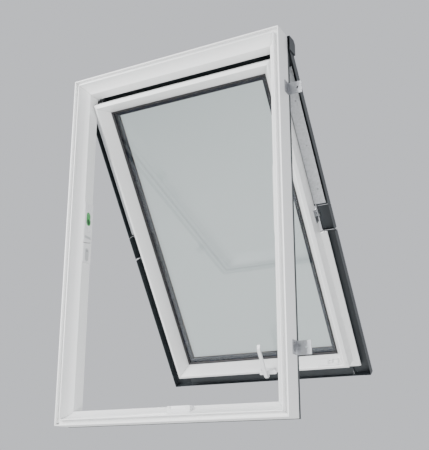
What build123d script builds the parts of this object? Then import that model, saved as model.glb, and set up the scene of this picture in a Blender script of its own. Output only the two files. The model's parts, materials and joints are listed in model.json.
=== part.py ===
from build123d import *
import os

# Roof window, top hung and centre pivoted, standing upright in its frame.
# X runs to the right as seen from the room, Y outwards, Z up the slope.
# The origin is the middle of the opening in the plane of the roof battens.
# Sections are drawn as (u, v): u inwards from the frame's outer edge,
# v outwards from its room face. The sash and its arms are drawn shut and
# are swung open about the top hinge when they are written.

# Frame: four mitred hollow bars
FRAME_WIDTH = 780
FRAME_HEIGHT = 1180
FRAME_BAR = 44
FRAME_DEPTH = 80
BATTEN_DROP = 14
PVC_WALL = 3
GROOVE_EDGE = 4
GROOVE_WIDTH = 12
GROOVE_DEPTH = 11
COVE_LIP = 3
REVEAL_WIDTH = 44
COVE_SAG = 5
EDGE_RADIUS = 1
SOFT_RADIUS = 2
HARDWARE_CHAMBER = 4.5
CORE_WALL = 1.5
CORE_CLEARANCE = 0.4
CORE_END_GAP = 6

# Sash: four mitred hollow bars with a sloping room face
SASH_GAP = 6
NOSE_RUN = 12
NOSE_RADIUS = 2.5
BEVEL_DEPTH = 10
LEDGE_DROP = 18
SASH_RISE = 8
REBATE_LAND = 24
SASH_BAR = 40
SLOPE_CHAMBER_GAP = 20

# Double glazing
PANE = 4
PANE_GAP = 16
BEDDING = 4
GLASS_MARGIN = 2
EDGE_SEAL = 8
SPACER = 24
GASKET_LIP = 7
GASKET_NOSE = 4
BLOCK_LENGTH = 100

# Aluminium sheets outside
SHEET = 1
CLADDING_RISE = 8
CLADDING_LIP = 3.5
CLADDING_LAND = 25.5
STRIP_OVERHANG = 5
STRIP_HEIGHT = 19.3
SKIRT_DEPTH = 9
DRIP_LOW_STEP = 6
DRIP_FACET = 29
DRIP_GAP = 3
HOOD_LIP = 49
HOOD_RISE = 38
HOOD_SHOULDER = 10
HOOD_SKIRT = 35
HOOD_OVERHANG = 8
HOOD_DROP = 3
FRAME_SHEET_LAND = 14

# Seals and flanges
FLANGE_WIDTH = 24
FLANGE_LIFT = 2
SEAL_PLACE = 28
SEAL_WIDTH = 5
SEAL_HEIGHT = 1.7

# Hinges
OPEN_ANGLE = 35
AXIS_RISE = 11
TOP_HINGE_DROP = 34
LUG_RADIUS = 7
LUG_THICK = 4
LUG_FOOT = 28
LUG_CLEARANCE = 0.3
ARM_WEB_PLACE = 41
ARM_BASE_EDGE = 6
ARM_PLATE = 2.5
ARM_FLANGE_REACH = 15.5
ARM_START = 40
ARM_TOP_GAP = 90
ARM_COVER_TOP_GAP = 30
ARM_COVER_DROP = 10
PIN_RADIUS = 4
PIN_CLEARANCE = 0.05
PIN_HEAD_RADIUS = 5.5
PIN_HEAD = 1.5
BRACKET_BASE_WIDTH = 22
BRACKET_BASE_LENGTH = 60
BRACKET_PLATE = 3
PIVOT_PLATE = 3
PIVOT_PLATE_HALF = 22
PIVOT_PLATE_DEPTH = 29
PIVOT_CLEAR_RADIUS = 60
CAP_LOW = 54
CAP_GAP = 1
CAP_LIP = 2.3

# Mode sliders in the reveals
HOUSING_LOW = 34
HOUSING_LENGTH = 110
HOUSING_FACE = 2.3
HOUSING_MARGIN = 3
MOULDING_BEVEL = 2
POCKET_DEPTH = 6.3
POCKET_CLEARANCE = 0.3
SLOT_LENGTH = 48
SLOT_WIDTH = 23
SLOT_PLACE = 55
KNOB_LENGTH = 26
KNOB_WIDTH = 22.4
KNOB_RISE = 3.8
KNOB_WALL = 3
KNOB_FLOOR = 0.8
SLIDER_PLATE = 2.3
SLIDER_PLATE_WIDTH = 28
COVER_SKIN = 2.5
TRAVEL_CLEARANCE = 0.3

# Guide block and lower hinge cover below each slider housing
GUIDE_OUTER_END = 12
GUIDE_ROOM_END = 4
GUIDE_ARC_SAG = 1.5
COVER_GAP = 2.5
COVER_LOW = 64
RAMP_WIDTH = 9
RAMP_DEPTH = 1.8
PLATE_LENGTH = 44
PLATE_WIDTH = 18
PLATE_THICK = 1.3
PLATE_PROUD = 0.2
SCREW_RADIUS = 3.2

# Handle on the bottom rail
HANDLE_X = 40
HANDLE_U = 58
HANDLE_SHELL = 3
BASE_LEFT = 31
BASE_RIGHT = 34
BASE_LOW = 5
BASE_HIGH = 11
BASE_CORNER = 3
BASE_EDGE = 0.8
BASE_POCKET_RIM = 1.7
SPINDLE_RADIUS = 5
LEVER_LENGTH = 119
LEVER_HEEL = 12
LEVER_NECK = 8
LEVER_BAR = 8
LEVER_WIDTH = 13
LEVER_PLAY = 0.5
LEVER_REACH = 20
LEVER_BEND = 14
LEVER_EDGE = 1.2
HEEL_RISE = 14
HEEL_BEND = 4
NECK_BEND = 6
TIP_THICK = 6
TIP_RUN = 19
TIP_GAP = 4
TIP_OUTER_BEND = 16
TIP_INNER_BEND = 8
TIP_ROUND = 1.5
TONGUE_THICK = 5
TONGUE_WIDTH = 18
TONGUE_LENGTH = 20
TONGUE_PLAY = 0.5
TONGUE_CLEARANCE = 1

# Striker on the sill
STRIKER_LEFT = 35
STRIKER_RIGHT = 40
STRIKER_REACH = 19
STRIKER_RIM = 3
STRIKER_SLOPE = 2.5
RECESS_HALF = 26
RECESS_MARGIN = 3

# Bolt on the right end of the bottom rail
BOLT_END_GAP = 84
BOLT_LENGTH = 74
BOLT_WIDTH = 26
BOLT_HEIGHT = 7
BOLT_PLACE = 4
BOLT_WALL = 1.6
BOLT_RAIL = 2.7
BOLT_PIN_RADIUS = 2.5
BOLT_PIN_PLACE = 10
BOLT_PIN_LIFT = 3.2
BOLT_PIN_GAP = 55
BOLT_CLEARANCE = 0.3
BOLT_TRAVEL = 20
BOLT_CHAMFER = 1
CARRIAGE_LENGTH = 18
CARRIAGE_HEIGHT = 6
RIDGE_WIDTH = 2.5
RIDGE_RISE = 2.4

# Roof brackets, two on each side of the frame
ROOF_BRACKET_INSET = 190
ROOF_BRACKET_WIDTH = 40
ROOF_BRACKET_FOOT = 45
ROOF_BRACKET_PLATE = 2.5
ROOF_BRACKET_LEG = 28
ROOF_HOLE_RADIUS = 3.3
ROOF_HOLE_OFFSET = 30

# Places worked out from the sizes above
BATTEN_DEPTH = FRAME_DEPTH - BATTEN_DROP
AXIS_DEPTH = FRAME_DEPTH + AXIS_RISE
COVE_START = GROOVE_EDGE + GROOVE_WIDTH
COVE_DEPTH = FRAME_DEPTH - REVEAL_WIDTH
NOSE_DEPTH = COVE_DEPTH / 2
LEDGE_DEPTH = FRAME_DEPTH - LEDGE_DROP
SASH_CHAMBER_DEPTH = LEDGE_DEPTH - SLOPE_CHAMBER_GAP
SASH_EDGE = FRAME_BAR + SASH_GAP
SASH_NOSE = SASH_EDGE + NOSE_RUN
SASH_INNER = SASH_EDGE + SASH_BAR
REBATE = SASH_EDGE + REBATE_LAND
SASH_TOP = FRAME_DEPTH + SASH_RISE
BEVEL_END = NOSE_DEPTH + BEVEL_DEPTH
GLASS_BACK = LEDGE_DEPTH + BEDDING
GLASS_FRONT = GLASS_BACK + 2 * PANE + PANE_GAP
GLASS_EDGE = REBATE + GLASS_MARGIN
CLADDING_TOP = SASH_TOP + CLADDING_RISE
CLADDING_INNER = SASH_INNER - CLADDING_LIP
CLADDING_OUTER = CLADDING_INNER - CLADDING_LAND
STRIP_TOP = FRAME_DEPTH + STRIP_HEIGHT
STRIP_INNER = CLADDING_OUTER - SHEET
DRIP_INNER = STRIP_INNER - DRIP_GAP
SKIRT_END = FRAME_DEPTH - SKIRT_DEPTH
TOP_HINGE_Z = FRAME_HEIGHT / 2 - TOP_HINGE_DROP
HALF_WIDTH = FRAME_WIDTH / 2
HALF_HEIGHT = FRAME_HEIGHT / 2
TONGUE_FACE = NOSE_DEPTH - TONGUE_CLEARANCE
HANDLE_FRONT = TONGUE_FACE - TONGUE_THICK - TONGUE_PLAY - HANDLE_SHELL
LEVER_BACK = HANDLE_FRONT - LEVER_PLAY
BOLT_RIGHT_END = HALF_WIDTH - BOLT_END_GAP
BOLT_PIN_END = HALF_WIDTH - BOLT_PIN_GAP
ROOF_BRACKET_PITCH = FRAME_HEIGHT - 2 * ROOF_BRACKET_INSET
ROOM_FACE = -BATTEN_DEPTH
REVEAL_FACE = FRAME_BAR + HOUSING_FACE
ARM_WEB_RIGHT = ARM_WEB_PLACE + LUG_THICK
ARM_BASE = FRAME_DEPTH + FLANGE_LIFT
ARM_TOP = HALF_HEIGHT - ARM_TOP_GAP
SLIDER_TRAVEL = SLOT_LENGTH - KNOB_LENGTH - 2 * TRAVEL_CLEARANCE
TOP_HINGE = Axis((0, ROOM_FACE + AXIS_DEPTH, TOP_HINGE_Z), (1, 0, 0))

os.makedirs("parts", exist_ok=True)


def section_plane(side):
    """Plane across the bars of one side: x runs inwards, y outwards from the room face."""
    inward = {"left": (1, 0, 0), "right": (-1, 0, 0), "head": (0, 0, -1), "sill": (0, 0, 1)}[side]
    reach = HALF_WIDTH if side in ("left", "right") else HALF_HEIGHT
    origin = Vector(inward) * -reach + Vector(0, ROOM_FACE, 0)
    return Plane(origin=origin, x_dir=inward, z_dir=Vector(inward).cross(Vector(0, 1, 0)))


def half_run(side):
    """Half the length of the frame along one side."""
    return HALF_HEIGHT if side in ("left", "right") else HALF_WIDTH


def mitre_plane(side, end):
    """Plane of the mitre at one end of a side, facing away from the bar."""
    plane = section_plane(side)
    along = plane.z_dir * end
    return Plane(origin=plane.origin + along * half_run(side), z_dir=plane.x_dir + along)


def side_view(x, v=0, z=0):
    """Plane facing right at a place across the window, x down the slope and y outwards."""
    return Plane(origin=(x, v + ROOM_FACE, z), x_dir=(0, 0, -1), z_dir=(1, 0, 0))


def cross_plane(u, v=0, z=0):
    """Plane facing right at a place in the left side's section."""
    return side_view(u - HALF_WIDTH, v, z)


def front_plane(v, x=0, u=0):
    """Plane facing the room at the sill's section, x to the right and y up the slope."""
    return Plane(origin=(x, v + ROOM_FACE, u - HALF_HEIGHT), x_dir=(1, 0, 0), z_dir=(0, -1, 0))


def write(solid, label):
    """Names a finished piece and writes it."""
    solid.label = label
    export_step(solid, f"parts/{label}.step")


def write_open(solid, label):
    """Writes a piece of the sash or its arms, swung open about the top hinge."""
    write(solid.rotate(TOP_HINGE, OPEN_ANGLE), label)


def write_pair(solid, stem, writer=write):
    """Writes a piece of the left side and its mirror image on the right."""
    writer(solid, f"{stem}_left")
    writer(mirror(solid, about=Plane.YZ), f"{stem}_right")


def with_mirror(solid):
    """The piece of the left side and its mirror image as one group."""
    return Part() + [solid, mirror(solid, about=Plane.YZ)]


def mitred_bar(section, side, ends=(1, -1), reach=0):
    """One side of a ring: the section run along the frame's edge and cut at its mitres."""
    with BuildPart() as bar:
        with BuildSketch(section_plane(side)):
            add(section)
        extrude(amount=half_run(side) + reach, both=True)
        for end in ends:
            split(bisect_by=mitre_plane(side, end), keep=Keep.BOTTOM)
    return bar.part


def mitred_ring(section):
    """Four mitred strips that make a ring round the opening."""
    return Part() + [mitred_bar(section, side) for side in ("head", "sill", "left", "right")]


def jamb_run(section, low, high):
    """A straight run of a section up the left side between two heights."""
    with BuildPart() as run:
        with BuildSketch(section_plane("left").offset(low)):
            add(section)
        extrude(amount=high - low)
    return run.part


def box_section(u_low, v_low, u_high, v_high):
    """A rectangular section between two corners."""
    with BuildSketch() as section:
        with Locations((u_low, v_low)):
            Rectangle(u_high - u_low, v_high - v_low, align=(Align.MIN, Align.MIN))
    return section.sketch


def sheet_section(*points):
    """A folded sheet whose outer side follows the points, its thickness to their left."""
    with BuildSketch() as section:
        with BuildLine():
            Polyline(*points)
            offset(amount=SHEET, side=Side.LEFT, kind=Kind.ARC)
        make_face()
    return section.sketch


# Section of the frame bars, with the lining groove, the cove and the chambers
with BuildSketch() as frame_outline:
    with BuildLine():
        Polyline(
            (COVE_START + COVE_LIP, 0),
            (COVE_START, 0),
            (COVE_START, GROOVE_DEPTH),
            (GROOVE_EDGE, GROOVE_DEPTH),
            (GROOVE_EDGE, 0),
            (0, 0),
            (0, FRAME_DEPTH),
            (FRAME_BAR, FRAME_DEPTH),
            (FRAME_BAR, COVE_DEPTH),
        )
        cove = SagittaArc((FRAME_BAR, COVE_DEPTH), (COVE_START + COVE_LIP, 0), -COVE_SAG)
    make_face()
    reveal_corner = frame_outline.vertices().sort_by_distance((FRAME_BAR, COVE_DEPTH))[0]
    fillet(reveal_corner, radius=SOFT_RADIUS)
    lip_corner = frame_outline.vertices().sort_by_distance((COVE_START + COVE_LIP, 0))[0]
    fillet(lip_corner, radius=EDGE_RADIUS)

CORE_LEFT = PVC_WALL
CORE_RIGHT = FRAME_BAR - 2 * PVC_WALL - HARDWARE_CHAMBER
CORE_LOW = COVE_DEPTH + PVC_WALL
CORE_HIGH = FRAME_DEPTH - PVC_WALL

with BuildSketch() as frame_section:
    add(frame_outline.sketch)
    add(box_section(CORE_LEFT, CORE_LOW, CORE_RIGHT, CORE_HIGH), mode=Mode.SUBTRACT)
    hardware_left = FRAME_BAR - PVC_WALL - HARDWARE_CHAMBER
    add(
        box_section(hardware_left, CORE_LOW, FRAME_BAR - PVC_WALL, CORE_HIGH),
        mode=Mode.SUBTRACT,
    )
    with BuildSketch(mode=Mode.SUBTRACT) as cove_chamber:
        add(box_section(PVC_WALL, GROOVE_DEPTH + PVC_WALL, FRAME_BAR - PVC_WALL, COVE_DEPTH))
        with Locations(cove.arc_center):
            Circle(cove.radius + PVC_WALL, mode=Mode.SUBTRACT)

# Section of the sash bars: an outer wall all round, a solid nose and two webs between the chambers
SASH_CORE_LEFT = SASH_EDGE + PVC_WALL
SASH_CORE_RIGHT = REBATE - PVC_WALL
SASH_CORE_LOW = SASH_CHAMBER_DEPTH + PVC_WALL
SASH_CORE_HIGH = SASH_TOP - PVC_WALL

with BuildSketch() as sash_shape:
    with BuildLine():
        Polyline(
            (SASH_EDGE, BEVEL_END),
            (SASH_EDGE, SASH_TOP),
            (REBATE, SASH_TOP),
            (REBATE, LEDGE_DEPTH),
            (SASH_INNER, LEDGE_DEPTH),
            (SASH_NOSE, NOSE_DEPTH),
            close=True,
        )
    make_face()

with BuildSketch() as sash_hollow:
    add(sash_shape.sketch)
    offset(amount=-PVC_WALL, kind=Kind.INTERSECTION, mode=Mode.REPLACE)
    add(
        box_section(SASH_EDGE, NOSE_DEPTH, SASH_INNER, BEVEL_END + PVC_WALL),
        mode=Mode.SUBTRACT,
    )
    add(
        box_section(SASH_EDGE, SASH_CHAMBER_DEPTH, SASH_INNER, SASH_CORE_LOW),
        mode=Mode.SUBTRACT,
    )
    add(
        box_section(SASH_CORE_RIGHT, SASH_CORE_LOW, REBATE, SASH_TOP),
        mode=Mode.SUBTRACT,
    )

with BuildSketch() as sash_outline:
    add(sash_shape.sketch)
    fillet(sash_outline.vertices().sort_by(Axis.Y)[0], radius=NOSE_RADIUS)
    bevel_corner = sash_outline.vertices().sort_by_distance((SASH_EDGE, BEVEL_END))[0]
    fillet(bevel_corner, radius=SOFT_RADIUS)

with BuildSketch() as sash_section:
    add(sash_outline.sketch)
    add(sash_hollow.sketch, mode=Mode.SUBTRACT)

slope_run = (SASH_INNER - SASH_NOSE) / (LEDGE_DEPTH - NOSE_DEPTH)
slope_length = (1 + slope_run**2) ** 0.5


def slope_point(along, lift):
    """Section coordinates of a point up the sash's sloping face from its nose, lifted off the face."""
    u = SASH_NOSE + (along * slope_run + lift) / slope_length
    v = NOSE_DEPTH + (along - lift * slope_run) / slope_length
    return u, v


def core_tubes(u_low, v_low, u_high, v_high):
    """Four straight steel tubes in the bars' chambers that stop short of the corners."""
    with BuildSketch() as section:
        outer = CORE_CLEARANCE
        inner = CORE_CLEARANCE + CORE_WALL
        add(box_section(u_low + outer, v_low + outer, u_high - outer, v_high - outer))
        add(
            box_section(u_low + inner, v_low + inner, u_high - inner, v_high - inner),
            mode=Mode.SUBTRACT,
        )
    tubes = []
    for side in ("head", "sill", "left", "right"):
        with BuildPart() as tube:
            with BuildSketch(section_plane(side)):
                add(section.sketch)
            extrude(amount=half_run(side) - u_high - CORE_END_GAP, both=True)
        tubes.append(tube.part)
    return Part() + tubes


# Frame bars, with a pocket for the hinge and slider housings in each side
POCKET_LOW = -COVER_LOW - POCKET_CLEARANCE
POCKET_HIGH = HOUSING_LOW + HOUSING_LENGTH + POCKET_CLEARANCE
BODY_LOW = COVE_DEPTH + HOUSING_MARGIN
BODY_HIGH = FRAME_DEPTH - HOUSING_MARGIN
POCKET_FLOOR = FRAME_BAR - POCKET_DEPTH

write(mitred_bar(frame_section.sketch, "head"), "frame_head")
write(mitred_bar(frame_section.sketch, "sill"), "frame_sill")

with BuildPart() as frame_side:
    add(mitred_bar(frame_section.sketch, "left"))
    pocket = box_section(POCKET_FLOOR, BODY_LOW, FRAME_BAR, BODY_HIGH)
    add(jamb_run(pocket, POCKET_LOW, POCKET_HIGH), mode=Mode.SUBTRACT)
write_pair(frame_side.part, "frame_side")

write(core_tubes(CORE_LEFT, CORE_LOW, CORE_RIGHT, CORE_HIGH), "frame_cores")

# Rubber seal on the frame's outer face: two side strips and one along the sill and the head
with BuildSketch() as seal_section:
    add(box_section(SEAL_PLACE, FRAME_DEPTH, SEAL_PLACE + SEAL_WIDTH, FRAME_DEPTH + SEAL_HEIGHT))
    fillet(seal_section.vertices().group_by(Axis.Y)[-1], radius=SEAL_HEIGHT / 2)

SEAL_TOP_END = TOP_HINGE_Z - BRACKET_BASE_LENGTH / 2 - SEAL_WIDTH
SEAL_HALF_WIDTH = HALF_WIDTH - SEAL_PLACE
with BuildPart() as seal_side:
    add(mitred_bar(seal_section.sketch, "left", ends=(-1,)))
    split(bisect_by=Plane.XY.offset(SEAL_TOP_END), keep=Keep.BOTTOM)
with BuildPart() as seal_head:
    with BuildSketch(section_plane("head")):
        add(seal_section.sketch)
    extrude(amount=SEAL_HALF_WIDTH - BRACKET_BASE_WIDTH, both=True)
seal_strips = [mitred_bar(seal_section.sketch, "sill"), seal_head.part]
seal_strips += [seal_side.part, mirror(seal_side.part, about=Plane.YZ)]
write(Part() + seal_strips, "frame_seal")

# Sheets that cover the frame's outer edge on the sides and the sill
frame_sheet = sheet_section(
    (FRAME_SHEET_LAND, FRAME_DEPTH + SHEET),
    (-SHEET, FRAME_DEPTH + SHEET),
    (-SHEET, SKIRT_END),
)
write(mitred_bar(frame_sheet, "sill", reach=SHEET), "frame_sheet_sill")
with BuildPart() as frame_sheet_side:
    add(mitred_bar(frame_sheet, "left", ends=(-1,), reach=SHEET))
    split(bisect_by=Plane.XY.offset(HALF_HEIGHT - SHEET), keep=Keep.BOTTOM)
write_pair(frame_sheet_side.part, "frame_sheet")

# Head hood: folded sheet screwed to the frame's top edge, with two end plates
HOOD_TOP = FRAME_DEPTH + HOOD_RISE
HOOD_HALF = HALF_WIDTH + HOOD_OVERHANG
hood_points = (
    (HOOD_LIP, HOOD_TOP - HOOD_DROP - SHEET),
    (HOOD_LIP, HOOD_TOP),
    (HOOD_SHOULDER, HOOD_TOP),
    (-SHEET, HOOD_TOP - HOOD_SHOULDER),
    (-SHEET, HOOD_TOP - HOOD_SHOULDER - HOOD_SKIRT),
)
with BuildPart() as head_hood:
    with BuildSketch(section_plane("head")):
        add(sheet_section(*hood_points))
    extrude(amount=HOOD_HALF, both=True)
    for end in (1, -1):
        with BuildSketch(section_plane("head").offset(end * HOOD_HALF)):
            with BuildLine():
                Polyline(*hood_points, (HOOD_LIP, SKIRT_END), close=True)
            make_face()
        extrude(amount=-end * SHEET)
write(head_hood.part, "head_hood")

# Top hinge: bracket on each upper corner of the frame, with its pin
BRACKET_LUG_RIGHT = ARM_WEB_PLACE - LUG_CLEARANCE
BRACKET_LUG_LEFT = BRACKET_LUG_RIGHT - LUG_THICK
with BuildPart() as hinge_bracket:
    with BuildSketch(section_plane("left").offset(TOP_HINGE_Z - BRACKET_BASE_LENGTH / 2)):
        base_left = BRACKET_LUG_RIGHT - BRACKET_BASE_WIDTH
        add(box_section(base_left, FRAME_DEPTH, BRACKET_LUG_RIGHT, FRAME_DEPTH + BRACKET_PLATE))
    extrude(amount=BRACKET_BASE_LENGTH)
    with BuildSketch(cross_plane(BRACKET_LUG_LEFT, AXIS_DEPTH, TOP_HINGE_Z)):
        with BuildSketch(mode=Mode.PRIVATE) as lug_foot:
            foot_drop = AXIS_DEPTH - FRAME_DEPTH - BRACKET_PLATE
            with Locations((0, -foot_drop)):
                Rectangle(LUG_FOOT, SHEET, align=(Align.CENTER, Align.MIN))
        make_hull([*lug_foot.edges(), *Circle(LUG_RADIUS, mode=Mode.PRIVATE).edges()])
    extrude(amount=LUG_THICK)
    with BuildSketch(cross_plane(BRACKET_LUG_LEFT, AXIS_DEPTH, TOP_HINGE_Z)):
        Circle(PIN_RADIUS)
    extrude(amount=LUG_THICK, mode=Mode.SUBTRACT)
write_pair(hinge_bracket.part, "hinge_bracket")


def headed_pin(u_low, u_high, z, heads):
    """A hinge pin across the left side, with flat heads that start at the given places."""
    with BuildPart() as pin:
        with BuildSketch(cross_plane(u_low, AXIS_DEPTH, z)):
            Circle(PIN_RADIUS)
        extrude(amount=u_high - u_low)
        for head in heads:
            with BuildSketch(cross_plane(head, AXIS_DEPTH, z)):
                Circle(PIN_HEAD_RADIUS)
            extrude(amount=PIN_HEAD)
    return pin.part


top_pin_end = ARM_WEB_RIGHT + LUG_CLEARANCE
top_pin_heads = (BRACKET_LUG_LEFT - PIN_HEAD, top_pin_end)
top_pin = headed_pin(BRACKET_LUG_LEFT, top_pin_end, TOP_HINGE_Z, top_pin_heads)
write(with_mirror(top_pin), "top_hinge_pins")

# Slider housing in the reveal, with the slot for the knob and the channel for the plate
HOUSING_HIGH = HOUSING_LOW + HOUSING_LENGTH
SLOT_Z = HOUSING_LOW + SLOT_PLACE
SLOT_V = (COVE_DEPTH + FRAME_DEPTH) / 2
KNOB_Z = SLOT_Z - SLOT_LENGTH / 2 + TRAVEL_CLEARANCE + KNOB_LENGTH / 2
PLATE_BACK = REVEAL_FACE - COVER_SKIN - TRAVEL_CLEARANCE - SLIDER_PLATE
PLATE_SPAN = SLOT_LENGTH + SLIDER_TRAVEL + 2 * TRAVEL_CLEARANCE
PLATE_LOW = SLOT_Z - SLOT_LENGTH / 2 - SLIDER_TRAVEL - TRAVEL_CLEARANCE
CHANNEL_LOW = PLATE_LOW - TRAVEL_CLEARANCE
CHANNEL_HIGH = PLATE_LOW + PLATE_SPAN + SLIDER_TRAVEL + TRAVEL_CLEARANCE
CHANNEL_HALF = SLIDER_PLATE_WIDTH / 2 + TRAVEL_CLEARANCE
BODY_GAP = POCKET_CLEARANCE
BODY_BACK = POCKET_FLOOR + BODY_GAP


def moulding(face, body):
    """A moulding let into the side pocket: a proud face and the narrower body behind it."""
    with BuildPart() as block:
        with BuildSketch(cross_plane(FRAME_BAR, 0)):
            add(face)
        extrude(amount=HOUSING_FACE)
        room_edge = block.edges().filter_by(GeomType.LINE).group_by(Axis.X)[-1].group_by(Axis.Y)[0]
        chamfer(room_edge, length=MOULDING_BEVEL)
        with BuildSketch(cross_plane(BODY_BACK, 0)):
            add(body)
        extrude(amount=FRAME_BAR - BODY_BACK)
    return block.part


# The reveal's own coordinates run down the slope and outwards, so heights change sign here
housing_face = box_section(-HOUSING_HIGH, COVE_DEPTH, -HOUSING_LOW, FRAME_DEPTH)
housing_body = box_section(
    -HOUSING_HIGH + BODY_GAP, BODY_LOW + BODY_GAP, -HOUSING_LOW - BODY_GAP, BODY_HIGH - BODY_GAP
)
with BuildPart() as slider_housing:
    add(moulding(housing_face, housing_body))
    with BuildSketch(cross_plane(BODY_BACK, 0)):
        add(
            box_section(
                -CHANNEL_HIGH, SLOT_V - CHANNEL_HALF, -CHANNEL_LOW, SLOT_V + CHANNEL_HALF
            )
        )
    extrude(amount=REVEAL_FACE - COVER_SKIN - BODY_BACK, mode=Mode.SUBTRACT)
    with BuildSketch(cross_plane(REVEAL_FACE - COVER_SKIN, SLOT_V, SLOT_Z)):
        SlotOverall(SLOT_LENGTH, SLOT_WIDTH)
    extrude(amount=COVER_SKIN, mode=Mode.SUBTRACT)
write_pair(slider_housing.part, "slider_housing")

# Slider: plate in the channel, with the oval finger ring that stands through the slot
with BuildPart() as slider:
    with BuildSketch(cross_plane(PLATE_BACK, 0)):
        plate_half = SLIDER_PLATE_WIDTH / 2
        add(
            box_section(
                -PLATE_LOW - PLATE_SPAN, SLOT_V - plate_half, -PLATE_LOW, SLOT_V + plate_half
            )
        )
    extrude(amount=SLIDER_PLATE)
    with BuildSketch(cross_plane(PLATE_BACK + SLIDER_PLATE, SLOT_V, KNOB_Z)):
        SlotOverall(KNOB_LENGTH, KNOB_WIDTH)
    extrude(amount=KNOB_RISE)
    chamfer(slider.faces().sort_by(Axis.X)[-1].edges(), length=KNOB_FLOOR)
    with BuildSketch(cross_plane(PLATE_BACK + SLIDER_PLATE + KNOB_FLOOR, SLOT_V, KNOB_Z)):
        SlotOverall(KNOB_LENGTH - 2 * KNOB_WALL, KNOB_WIDTH - 2 * KNOB_WALL)
    extrude(amount=KNOB_RISE, mode=Mode.SUBTRACT)
write_pair(slider.part, "slider")


def reveal_block(near, far, near_sag, far_sag):
    """Closed outline on the reveal between two cross lines, given at the outer and room edges."""
    with BuildSketch() as outline:
        with BuildLine():
            Line((near[0], FRAME_DEPTH), (far[0], FRAME_DEPTH))
            if far_sag:
                SagittaArc((far[0], FRAME_DEPTH), (far[1], COVE_DEPTH), far_sag)
            else:
                Line((far[0], FRAME_DEPTH), (far[1], COVE_DEPTH))
            Line((far[1], COVE_DEPTH), (near[1], COVE_DEPTH))
            if near_sag:
                SagittaArc((near[1], COVE_DEPTH), (near[0], FRAME_DEPTH), near_sag)
            else:
                Line((near[1], COVE_DEPTH), (near[0], FRAME_DEPTH))
        make_face()
    return outline.sketch


def block_body(face, low, high):
    """The part of a reveal outline that fits the pocket behind it."""
    with BuildSketch() as body:
        add(face)
        add(
            box_section(-high, BODY_LOW + BODY_GAP, -low, BODY_HIGH - BODY_GAP),
            mode=Mode.INTERSECT,
        )
    return body.sketch


# Guide block under the slider housing, with a ramp let into its face
guide_top = -HOUSING_LOW + BODY_GAP
guide_face = reveal_block(
    (guide_top, guide_top), (-GUIDE_OUTER_END, -GUIDE_ROOM_END), 0, GUIDE_ARC_SAG
)
with BuildPart() as guide_block:
    add(moulding(guide_face, block_body(guide_face, -HOUSING_LOW, HOUSING_LOW)))
    ramp_z = HOUSING_LOW - BODY_GAP - RAMP_WIDTH
    with BuildSketch(section_plane("left").offset(ramp_z - RAMP_WIDTH / 2)):
        with BuildLine():
            Polyline(
                (REVEAL_FACE, COVE_DEPTH + HOUSING_MARGIN),
                (REVEAL_FACE, FRAME_DEPTH - HOUSING_MARGIN),
                (REVEAL_FACE - RAMP_DEPTH, FRAME_DEPTH - HOUSING_MARGIN),
                close=True,
            )
        make_face()
    extrude(amount=RAMP_WIDTH, mode=Mode.SUBTRACT)
write_pair(guide_block.part, "guide_block")

# Lower hinge cover with the seat for its grey plate
cover_top = (-GUIDE_OUTER_END + COVER_GAP, -GUIDE_ROOM_END + COVER_GAP)
cover_face = reveal_block(cover_top, (COVER_LOW, COVER_LOW), -GUIDE_ARC_SAG, 0)
PLATE_Z = -COVER_LOW + HOUSING_MARGIN * 2 + PLATE_LENGTH / 2
PLATE_SEAT = REVEAL_FACE + PLATE_PROUD - PLATE_THICK
with BuildPart() as hinge_cover:
    add(moulding(cover_face, block_body(cover_face, -COVER_LOW + BODY_GAP, COVER_LOW)))
    with BuildSketch(cross_plane(PLATE_SEAT, SLOT_V, PLATE_Z)):
        SlotOverall(PLATE_LENGTH + 2 * PLATE_PROUD, PLATE_WIDTH + 2 * PLATE_PROUD)
    extrude(amount=PLATE_THICK, mode=Mode.SUBTRACT)
write_pair(hinge_cover.part, "hinge_cover")

with BuildPart() as cover_plate:
    with BuildSketch(cross_plane(PLATE_SEAT, SLOT_V, PLATE_Z)):
        SlotOverall(PLATE_LENGTH, PLATE_WIDTH)
    extrude(amount=PLATE_THICK)
    screw_z = PLATE_Z + (PLATE_LENGTH - PLATE_WIDTH) / 2
    with BuildSketch(cross_plane(PLATE_SEAT, SLOT_V, screw_z)):
        Circle(SCREW_RADIUS)
    extrude(amount=PLATE_THICK, mode=Mode.SUBTRACT)
write(with_mirror(cover_plate.part), "hinge_cover_plates")

# Roof brackets: folded angles screwed to the frame's sides, standing on the battens
with BuildPart() as roof_bracket:
    foot_end = BATTEN_DEPTH + ROOF_BRACKET_PLATE
    with BuildSketch(section_plane("left").offset((ROOF_BRACKET_PITCH - ROOF_BRACKET_WIDTH) / 2)):
        leg_start = -ROOF_BRACKET_PLATE
        add(box_section(leg_start, BATTEN_DEPTH - ROOF_BRACKET_LEG, 0, foot_end))
        add(box_section(-ROOF_BRACKET_FOOT, BATTEN_DEPTH, leg_start, foot_end))
    extrude(amount=ROOF_BRACKET_WIDTH)
    hole_x = -HALF_WIDTH - ROOF_HOLE_OFFSET
    with BuildSketch(Plane(origin=(hole_x, 0, ROOF_BRACKET_PITCH / 2), z_dir=(0, 1, 0))):
        Circle(ROOF_HOLE_RADIUS)
    extrude(amount=ROOF_BRACKET_PLATE, mode=Mode.SUBTRACT)
    mirror(about=Plane.XY)
write(with_mirror(roof_bracket.part), "roof_brackets")

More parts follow.
